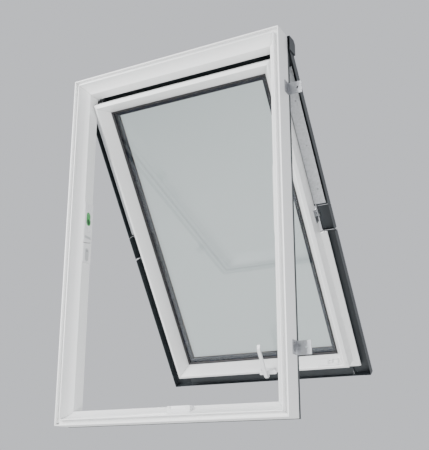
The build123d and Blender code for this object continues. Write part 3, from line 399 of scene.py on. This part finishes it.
def coated_sheet(part, looks, swung):
    """Powder-coated aluminium sheet with its fine orange peel."""
    sheet = grained(
        f"Anthracite sheet of the {part}", looks.sheet_grey, 0.44, 1500, 12, 3e-5, 0.14, swung
    )
    sheet.fix(Metallic=0.1, Specular_IOR_Level=0.42, Coat_Weight=0.12, Coat_Roughness=0.35)
    return sheet


def zinc_coat():
    """Zinc-plated steel with faint crystals."""
    zinc = grained("Zinc plating", (0.4, 0.41, 0.42), 0.36, 1300, 60, 1e-5, 0.1)
    flower = zinc.group(zinc_flowers).outputs["Flower"]
    zinc.feed("Base Color", zinc.mix(flower, zinc.tone, (0.5, 0.51, 0.53)))
    zinc.feed("Roughness", zinc.ramp(flower, 0.28, 0.46))
    zinc.fix(Metallic=1.0)
    return zinc


def slider_plastic(looks):
    """Glossy green plastic, with painted shade that darkens the hollow of the finger ring."""
    green = grained("Green slider", looks.slider_green, 0.3, 1800, 60, 2e-5, 0.05)
    low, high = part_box("slider_left")
    ring = green.group(
        oval_mask,
        Centre_Y=(low.y + high.y) / 2,
        Centre_Z=RING_PLACE * MM,
        Radius_Y=RING_HOLLOW[0],
        Radius_Z=RING_HOLLOW[1],
    )
    # Painted shade: the ring's hollow gets a much darker green that stands for the shade inside it
    ring_hollow_shade = shade(looks.slider_green, 0.2)
    green.feed("Base Color", green.mix(ring.outputs["Mask"], green.tone, ring_hollow_shade))
    green.fix(Coat_Weight=0.4, Coat_Roughness=0.15)
    return green


def window_glass():
    """Clear float glass with the faint haze of its panes."""
    glass = Finish("Clear glass")
    haze = glass.group(surface_grain, Grain_Scale=60, Mottle_Scale=4)
    glass.feed("Roughness", glass.ramp(haze.outputs["Mottle"], 0.0, 0.012))
    tint = glass.mix(haze.outputs["Mottle"], (0.93, 0.985, 0.965), (0.95, 0.99, 0.975))
    glass.feed("Base Color", tint)
    glass.fix(IOR=1.46, Transmission_Weight=1.0)
    return glass


def make_materials(looks):
    """All materials of the roof window, by name."""
    finishes = {
        "profile_frame": white_profile("frame", looks, False),
        "profile_sash": white_profile("sash", looks, True),
        "sheet_frame": coated_sheet("frame", looks, False),
        "sheet_sash": coated_sheet("sash", looks, True),
        "moulding": grained("White moulding", looks.moulding_white, 0.42, 2600, 11, 3e-5, 0.015),
        "lever": grained("Handle lacquer", looks.handle_grey, 0.26, 900, 20, 1e-5, 0.02),
        "zinc": zinc_coat(),
        "screw": grained("Screw steel", (0.3, 0.3, 0.31), 0.3, 2200, 300, 1e-5, 0.2),
        "rubber": grained("Black rubber", (0.014, 0.014, 0.016), 0.55, 2600, 25, 1e-5, 0.2),
        "spacer": grained("Dark spacer", (0.011, 0.017, 0.04), 0.45, 2600, 20, 1e-5, 0.12),
        "sealant": grained("Brown sealant", (0.11, 0.065, 0.035), 0.5, 1500, 80, 3e-5, 0.25),
        # Grey plastic of the cover plates and setting blocks; the same grey paints shade on the guide ramps
        "plate": grained("Grey plastic and painted ramp shade", looks.plate_grey, 0.4, 2400, 30, 2e-5, 0.05),
        # Painted shade: a darker grey for the raised sign lines and the bolt's notch floors, standing for the
        # shading of that relief
        "painted_shade_grey": grained("Painted shade grey", shade(looks.moulding_white, 0.55), 0.5, 2400, 30, 1e-5, 0.05),
        "slider": slider_plastic(looks),
        "arrow": grained("Arrow green", shade(looks.slider_green, 0.55), 0.35, 1800, 60, 1e-5, 0.1),
        "glass": window_glass(),
    }
    finishes["lever"].fix(Coat_Weight=0.5, Coat_Roughness=0.1)
    finishes["screw"].fix(Metallic=1.0)
    finishes["spacer"].fix(Specular_IOR_Level=0.25)
    return {name: finish.material for name, finish in finishes.items()}


MATERIALS = {}


def material(name):
    """A material of the set, which is made at its first use."""
    if not MATERIALS:
        MATERIALS.update(make_materials(bpy.context.scene.roof_window_looks))
    return MATERIALS[name]


# Mesh helpers


def at(u, v, z):
    """A point on the left side from section coordinates in millimetres: u inwards, v outwards."""
    return Vector((u * MM - FRAME_HALF_WIDTH, ROOM_FACE + v * MM, z * MM))


def facing(place, normal):
    """Turns and moves a piece that is drawn on the XY plane."""
    return Matrix.Translation(place) @ Vector(normal).to_track_quat("Z", "Y").to_matrix().to_4x4()


def both_sides(places):
    """Places and directions on the left side, and their mirror images on the right."""
    pairs = [(place, Vector(normal)) for place, normal in places]
    return pairs + [(MIRROR @ place, MIRROR @ normal) for place, normal in pairs]


def smooth(mesh):
    """Smooth shading that breaks at the edges."""
    mesh.polygons.foreach_set("use_smooth", [True] * len(mesh.polygons))
    mesh.set_sharp_from_angle(angle=EDGE_ANGLE)


def add_piece(name, mesh, body, finish):
    """Links a mesh as a piece that rides on a body."""
    piece = bpy.data.objects.new(name, mesh)
    bpy.context.scene.collection.objects.link(piece)
    mesh.materials.append(material(finish))
    smooth(mesh)
    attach(piece, body)
    return piece


def bmesh_piece(shape, name, body, finish):
    """Turns a bmesh in the closed position into a piece of a body."""
    if body in SWUNG_BODIES:
        bmesh.ops.transform(shape, matrix=SWING, verts=shape.verts)
    bmesh.ops.recalc_face_normals(shape, faces=shape.faces)
    mesh = bpy.data.meshes.new(name)
    shape.to_mesh(mesh)
    shape.free()
    return add_piece(name, mesh, body, finish)


def add_box(shape, low, high):
    """Adds a box between two corners to a bmesh."""
    place = Matrix.Translation((low + high) / 2) @ Matrix.Diagonal((*(high - low), 1.0))
    return bmesh.ops.create_cube(shape, size=1.0, matrix=place)["verts"]


def copy_to(source, target, matrix):
    """Adds a turned copy of one bmesh to another."""
    mesh = bpy.data.meshes.new("copy")
    source.to_mesh(mesh)
    mesh.transform(matrix)
    target.from_mesh(mesh)
    bpy.data.meshes.remove(mesh)


def dress(node, finish, edge, segments=2, carve=None):
    """A copy of a CAD piece with rounded edges, perhaps carved first, which stands for it."""
    shape = bmesh.new()
    shape.from_mesh(frame["nodes"][node].data)
    bmesh.ops.remove_doubles(shape, verts=shape.verts, dist=WELD_DISTANCE)
    bmesh.ops.dissolve_limit(
        shape, angle_limit=FLAT_ANGLE, verts=shape.verts, edges=shape.edges
    )
    if carve:
        carve(shape)
    mesh = bpy.data.meshes.new(f"{node}_rounded")
    shape.to_mesh(mesh)
    shape.free()
    piece = add_piece(mesh.name, mesh, BODY_OF[node], finish)
    rounding = piece.modifiers.new("Rounded edges", "BEVEL")
    rounding.width = edge
    rounding.segments = segments
    rounding.limit_method = "ANGLE"
    rounding.angle_limit = EDGE_ANGLE
    rounding.harden_normals = True
    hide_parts(node)
    return piece


def repaint(node, finish):
    """A CAD piece that keeps its form and gets a finish."""
    mesh = frame["nodes"][node].data
    mesh.materials.clear()
    mesh.materials.append(material(finish))


def screw_head(radius, height, socket_depth):
    """A domed screw head with a hexagonal socket, on the XY plane."""
    head = bmesh.new()
    socket = radius * 0.5
    # From under the rim to the socket, as shares of the radius and the height
    profile = (
        (0.0, -height * 0.1),
        (radius, -height * 0.1),
        (radius, height * 0.3),
        (radius * 0.88, height * 0.75),
        (radius * 0.68, height),
        (socket * 1.15, height),
    )
    points = [head.verts.new((x, 0, z)) for x, z in profile]
    edges = [head.edges.new(pair) for pair in zip(points, points[1:])]
    bmesh.ops.spin(
        head,
        geom=points + edges,
        axis=(0, 0, 1),
        cent=(0, 0, 0),
        steps=18,
        angle=math.tau,
        use_merge=True,
    )
    bmesh.ops.remove_doubles(head, verts=head.verts, dist=WELD_DISTANCE)
    rim = [edge for edge in head.edges if edge.is_boundary]
    flats = bmesh.ops.create_circle(
        head, segments=6, radius=socket, matrix=Matrix.Translation((0, 0, height))
    )["verts"]
    loop = list({edge for vert in flats for edge in vert.link_edges})
    bmesh.ops.bridge_loops(head, edges=rim + loop)
    wall = bmesh.ops.extrude_edge_only(head, edges=loop)["geom"]
    low = [part for part in wall if isinstance(part, bmesh.types.BMVert)]
    bmesh.ops.translate(head, verts=low, vec=(0, 0, -socket_depth))
    floor = [part for part in wall if isinstance(part, bmesh.types.BMEdge) and part.is_boundary]
    bmesh.ops.contextual_create(head, geom=floor)
    return head


def add_screws(name, body, places, radius, height=None):
    """A set of like screw heads in one piece, each from its place and the way it faces."""
    height = height or radius * 0.5
    head = screw_head(radius, height, height * 0.8)
    shape = bmesh.new()
    for place, normal in places:
        copy_to(head, shape, facing(place, normal))
    head.free()
    return bmesh_piece(shape, name, body, "screw")


def ridges(name, body, rows, radius, finish, matrices):
    """Thin raised lines along rows of points, once for each matrix."""
    drawing = bpy.data.curves.new(name, "CURVE")
    drawing.dimensions = "3D"
    drawing.bevel_depth = radius
    drawing.bevel_resolution = 1
    drawing.use_fill_caps = True
    for row, closed in rows:
        for matrix in matrices:
            spline = drawing.splines.new("POLY")
            spline.points.add(len(row) - 1)
            for point, place in zip(spline.points, row):
                point.co = (*(matrix @ place), 1.0)
            spline.use_cyclic_u = closed
    holder = bpy.data.objects.new(name, drawing)
    shape = bmesh.new()
    shape.from_mesh(bpy.data.meshes.new_from_object(holder))
    bpy.data.objects.remove(holder)
    bpy.data.curves.remove(drawing)
    return bmesh_piece(shape, name, body, finish)


def mitred_bead(name, body, outer, inner, depth, thick, finish):
    """A flat bead all round the opening between two insets from the frame's edge."""
    shape = bmesh.new()
    bmesh.ops.create_grid(shape, x_segments=1, y_segments=1, size=1.0)
    size = Matrix.Diagonal(
        (FRAME_HALF_WIDTH - outer * MM, FRAME_HALF_HEIGHT - outer * MM, 1.0, 1.0)
    )
    middle = list(shape.faces)
    bmesh.ops.transform(shape, matrix=size, verts=shape.verts)
    bmesh.ops.inset_region(
        shape,
        faces=middle,
        thickness=(inner - outer) * MM,
        use_boundary=True,
        use_even_offset=True,
    )
    bmesh.ops.delete(shape, geom=middle, context="FACES")
    bmesh.ops.solidify(shape, geom=list(shape.faces), thickness=thick * MM)
    upright = Matrix.Translation((0, ROOM_FACE + depth * MM, 0)) @ Matrix.Rotation(
        math.radians(90), 4, "X"
    )
    bmesh.ops.transform(shape, matrix=upright, verts=shape.verts)
    return bmesh_piece(shape, name, body, finish)


# Settings


class RoofWindowLooks(bpy.types.PropertyGroup):
    """Colours and edge sizes that a user would change."""

    profile_white: FloatVectorProperty(
        name="Profile white",
        description="Colour of the frame and sash profiles",
        subtype="COLOR",
        default=(0.82, 0.825, 0.82),
    )
    moulding_white: FloatVectorProperty(
        name="Moulding white",
        description="Colour of the white fittings",
        subtype="COLOR",
        default=(0.78, 0.785, 0.79),
    )
    handle_grey: FloatVectorProperty(
        name="Handle",
        description="Colour of the handle's lever",
        subtype="COLOR",
        default=(0.7, 0.71, 0.72),
    )
    sheet_grey: FloatVectorProperty(
        name="Sheet grey",
        description="Colour of the outer sheets",
        subtype="COLOR",
        default=(0.022, 0.027, 0.031),
    )
    plate_grey: FloatVectorProperty(
        name="Plate grey",
        description="Colour of the hinge cover plates",
        subtype="COLOR",
        default=(0.5, 0.51, 0.52),
    )
    slider_green: FloatVectorProperty(
        name="Slider green",
        description="Colour of the sliders",
        subtype="COLOR",
        default=(0.06, 0.36, 0.095),
    )
    seam_width: FloatProperty(
        name="Seam width",
        description="Half width of the seam at the mitres",
        default=0.0005,
        unit="LENGTH",
    )
    profile_edge: FloatProperty(
        name="Profile edge",
        description="Rounding of the profiles' edges",
        default=0.0006,
        unit="LENGTH",
    )
    sheet_edge: FloatProperty(
        name="Sheet edge",
        description="Rounding of the sheets' edges",
        default=0.0004,
        unit="LENGTH",
    )
    fitting_edge: FloatProperty(
        name="Fitting edge",
        description="Rounding of the fittings' edges",
        default=0.0004,
        unit="LENGTH",
    )


class RoofWindowStudio(bpy.types.PropertyGroup):
    """Floor, light and camera."""

    azimuth: FloatProperty(
        name="Azimuth",
        description="Camera angle round the window, 0 from the room",
        subtype="ANGLE",
        default=math.radians(28),
    )
    elevation: FloatProperty(
        name="Elevation",
        description="Camera angle above the horizon",
        subtype="ANGLE",
        default=math.radians(-18),
    )
    distance: FloatProperty(
        name="Distance",
        description="Camera distance from the middle of the window",
        default=2.72,
        unit="LENGTH",
    )
    lens: FloatProperty(
        name="Lens", description="Focal length", subtype="DISTANCE_CAMERA", default=63.0
    )
    floor_drop: FloatProperty(
        name="Floor drop",
        description="Height of the window's middle above the floor",
        default=2.2,
        unit="LENGTH",
    )
    floor_colour: FloatVectorProperty(
        name="Floor", description="Colour of the floor", subtype="COLOR", default=(0.8, 0.8, 0.79)
    )
    sky_strength: FloatProperty(
        name="Sky", description="Strength of the light from all round", default=0.78
    )
    light_power: FloatProperty(
        name="Light power",
        description="Power of the main soft light",
        default=225.0,
        unit="POWER",
    )


# Operators


class RoofWindowStage(bpy.types.Operator):
    """Sets the floor, the soft lights and the camera"""

    bl_idname = "roof_window.stage"
    bl_label = "Studio"

    def execute(self, context):
        studio = context.scene.roof_window_studio
        floor = bmesh.new()
        bmesh.ops.create_circle(
            floor,
            cap_ends=True,
            segments=96,
            radius=FLOOR_RADIUS,
            matrix=Matrix.Translation((0, 0, -studio.floor_drop)),
        )
        mesh = bpy.data.meshes.new("studio_floor")
        floor.to_mesh(mesh)
        floor.free()
        base = bpy.data.objects.new("studio_floor", mesh)
        context.scene.collection.objects.link(base)
        paint = grained("Studio floor", studio.floor_colour, 0.7, 40, 2, 1e-4, 0.01)
        mesh.materials.append(paint.material)
        self.set_light(context, studio)
        self.set_camera(context, studio)
        return {"FINISHED"}

    def set_light(self, context, studio):
        """A pale sky, and soft lamps that reflect in the glass but aren't seen through it."""
        world = bpy.data.worlds.new("Studio sky")
        world.use_nodes = True
        sky = world.node_tree.nodes["Background"]
        sky.inputs["Color"].default_value = (0.93, 0.95, 1.0, 1.0)
        sky.inputs["Strength"].default_value = studio.sky_strength
        context.scene.world = world
        for name, place, size, share in LAMPS:
            lamp = bpy.data.lights.new(name, "AREA")
            lamp.size = size
            lamp.energy = studio.light_power * share
            light = bpy.data.objects.new(name, lamp)
            light.location = place
            light.rotation_euler = (LAMP_AIM - Vector(place)).to_track_quat("-Z", "Y").to_euler()
            light.visible_transmission = False
            context.scene.collection.objects.link(light)

    def set_camera(self, context, studio):
        """The camera on the room side, to the right and below."""
        camera = bpy.data.objects.new("camera", bpy.data.cameras.new("camera"))
        camera.data.lens = studio.lens
        away = Vector(
            (
                math.sin(studio.azimuth) * math.cos(studio.elevation),
                -math.cos(studio.azimuth) * math.cos(studio.elevation),
                math.sin(studio.elevation),
            )
        )
        camera.location = CAMERA_AIM + away * studio.distance
        camera.rotation_euler = (-away).to_track_quat("-Z", "Y").to_euler()
        context.scene.collection.objects.link(camera)
        context.scene.camera = camera


class RoofWindowProfiles(bpy.types.Operator):
    """Rounds and paints the hollow profiles and flanges"""

    bl_idname = "roof_window.profiles"
    bl_label = "Profiles"

    def execute(self, context):
        edge = context.scene.roof_window_looks.profile_edge
        for side in ("head", "sill", "side_left", "side_right"):
            dress(f"frame_{side}", "profile_frame", edge)
            dress(f"sash_{side}", "profile_sash", edge)
        for side in ("sill", *SIDES):
            dress(f"sash_flange_{side}", "profile_sash", edge * 2)
        for node in ("frame_cores", "sash_cores"):
            repaint(node, "zinc")
        return {"FINISHED"}


class RoofWindowSheets(bpy.types.Operator):
    """Rounds and paints the folded sheets outside, and folds the tabs at the strips' ends"""

    bl_idname = "roof_window.sheets"
    bl_label = "Outer Sheets"

    def execute(self, context):
        edge = context.scene.roof_window_looks.sheet_edge
        for node in ("frame_sheet_left", "frame_sheet_right", "frame_sheet_sill", "head_hood"):
            dress(node, "sheet_frame", edge)
        names = [f"sash_cladding_{side}" for side in ("head", "sill", *SIDES)]
        names += [
            f"{stem}_{side}"
            for stem in ("arm_cover", "pivot_cap", "side_strip")
            for side in SIDES
        ]
        for node in names + ["drip_strip"]:
            dress(node, "sheet_sash", edge)
        self.fold_corners()
        return {"FINISHED"}

    def fold_corners(self):
        """The corner folded over each strip's closed end, and the bare tab beside it."""
        fold = bmesh.new()
        add_box(fold, at(*FOLD_LOW, STRIP_END - SHEET_THICK), at(*FOLD_HIGH, STRIP_END))
        width, height = FOLD_HIGH[0] - FOLD_LOW[0], FOLD_HIGH[1] - FOLD_LOW[1]
        cut = bmesh.ops.bisect_plane(
            fold,
            geom=fold.verts[:] + fold.edges[:] + fold.faces[:],
            plane_co=at(FOLD_HIGH[0], FOLD_LOW[1], STRIP_END),
            plane_no=(height, width, 0),
            clear_outer=True,
        )["geom_cut"]
        bmesh.ops.contextual_create(fold, geom=cut)
        copy_to(fold, fold, MIRROR)
        bmesh_piece(fold, "strip_corner_folds", "sash", "sheet_sash")
        tab = bmesh.new()
        add_box(tab, at(*TAB_LOW, STRIP_END - SHEET_THICK), at(*TAB_HIGH, STRIP_END))
        copy_to(tab, tab, MIRROR)
        bmesh_piece(tab, "strip_corner_tabs", "sash", "zinc")


class RoofWindowGlazing(bpy.types.Operator):
    """Paints the panes, spacer and gaskets, and lays the sealant bead inside the spacer"""

    bl_idname = "roof_window.glazing"
    bl_label = "Glazing"

    def execute(self, context):
        for node in ("glass_inner", "glass_outer"):
            repaint(node, "glass")
        repaint("glass_spacer", "spacer")
        for node in ("glass_edge_seal", "frame_seal"):
            repaint(node, "rubber")
        repaint("setting_blocks", "plate")
        for node in ("glazing_gasket", "outer_gasket"):
            dress(node, "rubber", GASKET_EDGE * MM)
        mitred_bead(
            "outer_sealant",
            "sash",
            SEALANT_OUTER,
            SEALANT_INNER,
            SEALANT_DEPTH,
            SEALANT_THICK,
            "sealant",
        )
        return {"FINISHED"}


class RoofWindowHinges(bpy.types.Operator):
    """Rounds and paints the hinges, arms, pivots and roof brackets"""

    bl_idname = "roof_window.hinges"
    bl_label = "Hinges"

    def execute(self, context):
        edge = context.scene.roof_window_looks.fitting_edge
        names = ["top_hinge_pins", "pivot_plates", "pivot_pins", "roof_brackets"]
        names += [f"{stem}_{side}" for stem in ("hinge_bracket", "arm") for side in SIDES]
        for node in names:
            dress(node, "zinc", edge)
        return {"FINISHED"}


class RoofWindowReveal(bpy.types.Operator):
    """Rounds and paints the fittings in the reveals, and draws their signs"""

    bl_idname = "roof_window.reveal"
    bl_label = "Reveal Fittings"

    def execute(self, context):
        edge = context.scene.roof_window_looks.fitting_edge
        for side in SIDES:
            for stem in ("slider_housing", "guide_block", "hinge_cover"):
                dress(f"{stem}_{side}", "moulding", edge * 1.5, 3)
            dress(f"slider_{side}", "slider", edge, 3)
        dress("hinge_cover_plates", "plate", edge)
        self.lay_ramp_shades()
        self.draw_signs()
        self.draw_arrows()
        return {"FINISHED"}

    def lay_ramp_shades(self):
        """Painted shade: a thin grey sheet laid on the ramp of each guide block, standing for the shade in that
        recess.
        """
        low, high = (at(u, v, RAMP_PLACE) for u, v in RAMP_FLOOR)
        slope = high - low
        size = Matrix.Diagonal((RAMP_SHADE_THICK * MM, slope.length, RAMP_WIDTH * MM, 1.0))
        turn = slope.to_track_quat("Y", "Z").to_matrix().to_4x4()
        ramp_shade_inlay = bmesh.new()
        middle = Matrix.Translation((low + high) / 2)
        bmesh.ops.create_cube(ramp_shade_inlay, size=1.0, matrix=middle @ turn @ size)
        copy_to(ramp_shade_inlay, ramp_shade_inlay, MIRROR)
        bmesh_piece(ramp_shade_inlay, "guide_ramp_shades", "frame", "plate")

    def draw_signs(self):
        """Two plain line signs: a sash hung at its top, and one turned about its middle."""
        rows = []
        for middle, sash_stroke in (
            (UPPER_SIGN_PLACE, TOP_HUNG_STROKE),
            (LOWER_SIGN_PLACE, PIVOTED_STROKE),
        ):
            for line in (FRAME_STROKE, sash_stroke, POINTER_STROKE):
                row = [
                    at(HOUSING_FACE, HARDWARE_DEPTH + v, middle + z) for z, v in line
                ]
                rows.append((row, False))
        # The raised lines take painted shade, a darker grey that stands for the shading along them
        ridges(
            "housing_signs",
            "frame",
            rows,
            SIGN_LINE * MM,
            "painted_shade_grey",
            HANDS.values(),
        )

    def draw_arrows(self):
        """The outlined arrow on each slider's plate."""
        row = [at(SLIDER_FACE, HARDWARE_DEPTH + v, ARROW_PLACE + z) for z, v in ARROW_OUTLINE]
        for side, matrix in HANDS.items():
            ridges(
                f"slider_arrow_{side}",
                f"slider_{side}",
                [(row, True)],
                ARROW_LINE * MM,
                "arrow",
                [matrix],
            )


class RoofWindowHandle(bpy.types.Operator):
    """Rounds and paints the handle, its base, the tongue and the striker"""

    bl_idname = "roof_window.handle"
    bl_label = "Handle"

    def execute(self, context):
        edge = context.scene.roof_window_looks.fitting_edge
        dress("handle_base", "moulding", edge, 3)
        dress("handle_lever", "lever", edge * 1.5, 3)
        dress("latch_tongue", "zinc", edge)
        dress("latch_striker", "moulding", edge * 1.5, 3)
        return {"FINISHED"}


class RoofWindowBolt(bpy.types.Operator):
    """Rounds and paints the bolt on the bottom rail"""

    bl_idname = "roof_window.bolt"
    bl_label = "Bolt"

    def execute(self, context):
        edge = context.scene.roof_window_looks.fitting_edge
        dress("bolt_housing", "moulding", edge, 3)
        bolt = dress("sash_bolt", "moulding", edge, 3, self.cut_notches)
        # A second material, the painted shade grey, for the notch floors
        bolt.data.materials.append(material("painted_shade_grey"))
        return {"FINISHED"}

    def rail_face(self):
        """Where the bottom rail's sloping face lies at rest, from its own coordinates."""
        u, v = RAIL_NOSE
        nose = Vector((0, ROOM_FACE + v * MM, u * MM - FRAME_HALF_HEIGHT))
        right = Vector((1, 0, 0))
        axes = Matrix((right, RAIL_SLOPE, right.cross(RAIL_SLOPE))).transposed().to_4x4()
        return SWING @ Matrix.Translation(nose) @ axes

    def cut_notches(self, shape):
        """Two notches that taper away from the thumb ridge, side by side, with floors in painted shade grey."""
        bmesh.ops.transform(shape, matrix=self.rail_face().inverted(), verts=shape.verts)
        shape.normal_update()
        top = [
            face
            for face in shape.faces
            if abs(face.calc_center_median().z - THUMB_TOP * MM) < WELD_DISTANCE
            and face.calc_center_median().x > THUMB_RIDGE_END * MM
        ]
        middle = top[0].calc_center_median()
        halves = bmesh.ops.bisect_plane(
            shape,
            geom=top + list(top[0].edges) + list(top[0].verts),
            plane_co=middle,
            plane_no=(0, 1, 0),
        )["geom"]
        halves = [part for part in halves if isinstance(part, bmesh.types.BMFace)]
        bmesh.ops.inset_individual(shape, faces=halves, thickness=NOTCH_MARGIN * MM)
        for half in halves:
            row = half.calc_center_median().y
            for vert in half.verts:
                width = NOTCH_WIDTHS[vert.co.x > middle.x] * MM
                vert.co.y = row + math.copysign(width / 2, vert.co.y - row)
        bmesh.ops.inset_individual(
            shape, faces=halves, thickness=NOTCH_LEAN * MM, depth=-NOTCH_DEPTH * MM
        )
        # Painted shade: the notch floors take the darker grey that stands for the shade in them
        for half in halves:
            half.material_index = 1
        bmesh.ops.transform(shape, matrix=self.rail_face(), verts=shape.verts)


class RoofWindowScrews(bpy.types.Operator):
    """Sets the screw heads into the sheets, hinges and covers"""

    bl_idname = "roof_window.screws"
    bl_label = "Screws"

    def execute(self, context):
        inwards, outwards, aside, roomwards = (1, 0, 0), (0, 1, 0), (-1, 0, 0), (0, -1, 0)
        u, z = PLATE_SCREW
        plate = [(at(u, HARDWARE_DEPTH, z), inwards)]
        add_screws(
            "cover_plate_screws", "frame", both_sides(plate), radius=3.0 * MM, height=1.2 * MM
        )
        bracket = [
            (at(*HINGE_SCREW, TOP_HINGE_HEIGHT + shift), outwards) for shift in HINGE_SCREW_SHIFTS
        ]
        add_screws("hinge_bracket_screws", "frame", both_sides(bracket), radius=3.6 * MM)
        roof = [
            (at(*ROOF_SCREW, height + shift), aside)
            for height in ROOF_BRACKET_HEIGHTS
            for shift in ROOF_SCREW_SHIFTS
        ]
        add_screws("roof_bracket_screws", "frame", both_sides(roof), radius=3.8 * MM)
        for name, body, heights in (
            ("side_strip_screws", "sash", STRIP_SCREW_HEIGHTS),
            ("arm_cover_screws", "arms", COVER_SCREW_HEIGHTS),
        ):
            row = [(at(SHEET_SCREW_PLACE, STRIP_FACE, height), outwards) for height in heights]
            add_screws(name, body, both_sides(row), radius=2.4 * MM, height=0.9 * MM)
        top = FRAME_HALF_HEIGHT / MM - HOOD_SCREW_DROP
        side, middle = [(at(place, HOOD_FACE, top), outwards) for place in HOOD_SCREW_PLACES]
        hood = both_sides([side]) + [(middle[0], Vector(outwards))]
        add_screws("hood_screws", "frame", hood, radius=2.6 * MM, height=0.9 * MM)
        pivot = [
            (at(PIVOT_FACE, PIVOT_SCREW_DEPTH, height), aside)
            for height in PIVOT_SCREW_HEIGHTS
        ]
        add_screws(
            "pivot_plate_screws", "sash", both_sides(pivot), radius=3.2 * MM, height=0.35 * MM
        )
        rivets = [(at(*RIVET, height), roomwards) for height in RIVET_HEIGHTS]
        add_screws("arm_rivets", "arms", both_sides(rivets), radius=3.2 * MM, height=1.0 * MM)
        return {"FINISHED"}


STEPS = (
    RoofWindowStage,
    RoofWindowProfiles,
    RoofWindowSheets,
    RoofWindowGlazing,
    RoofWindowHinges,
    RoofWindowReveal,
    RoofWindowHandle,
    RoofWindowBolt,
    RoofWindowScrews,
)


class RoofWindowPanel(bpy.types.Panel):
    """Lists the settings and the steps"""

    bl_idname = "VIEW3D_PT_roof_window"
    bl_label = "Roof Window"
    bl_space_type = "VIEW_3D"
    bl_region_type = "UI"
    bl_category = "Roof Window"

    def draw(self, context):
        for settings in (context.scene.roof_window_looks, context.scene.roof_window_studio):
            box = self.layout.box()
            for name in settings.__annotations__:
                box.prop(settings, name)
        for step in STEPS:
            self.layout.operator(step.bl_idname)


CLASSES = (RoofWindowLooks, RoofWindowStudio, *STEPS, RoofWindowPanel)


def register():
    """Registers the settings, the steps and the panel."""
    for entry in CLASSES:
        bpy.utils.register_class(entry)
    bpy.types.Scene.roof_window_looks = PointerProperty(type=RoofWindowLooks)
    bpy.types.Scene.roof_window_studio = PointerProperty(type=RoofWindowStudio)


def unregister():
    """Takes them off again."""
    del bpy.types.Scene.roof_window_studio
    del bpy.types.Scene.roof_window_looks
    for entry in reversed(CLASSES):
        bpy.utils.unregister_class(entry)


def main():
    """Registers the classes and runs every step."""
    register()
    for step in STEPS:
        group, name = step.bl_idname.split(".")
        getattr(getattr(bpy.ops, group), name)()


if __name__ == "__main__":
    main()
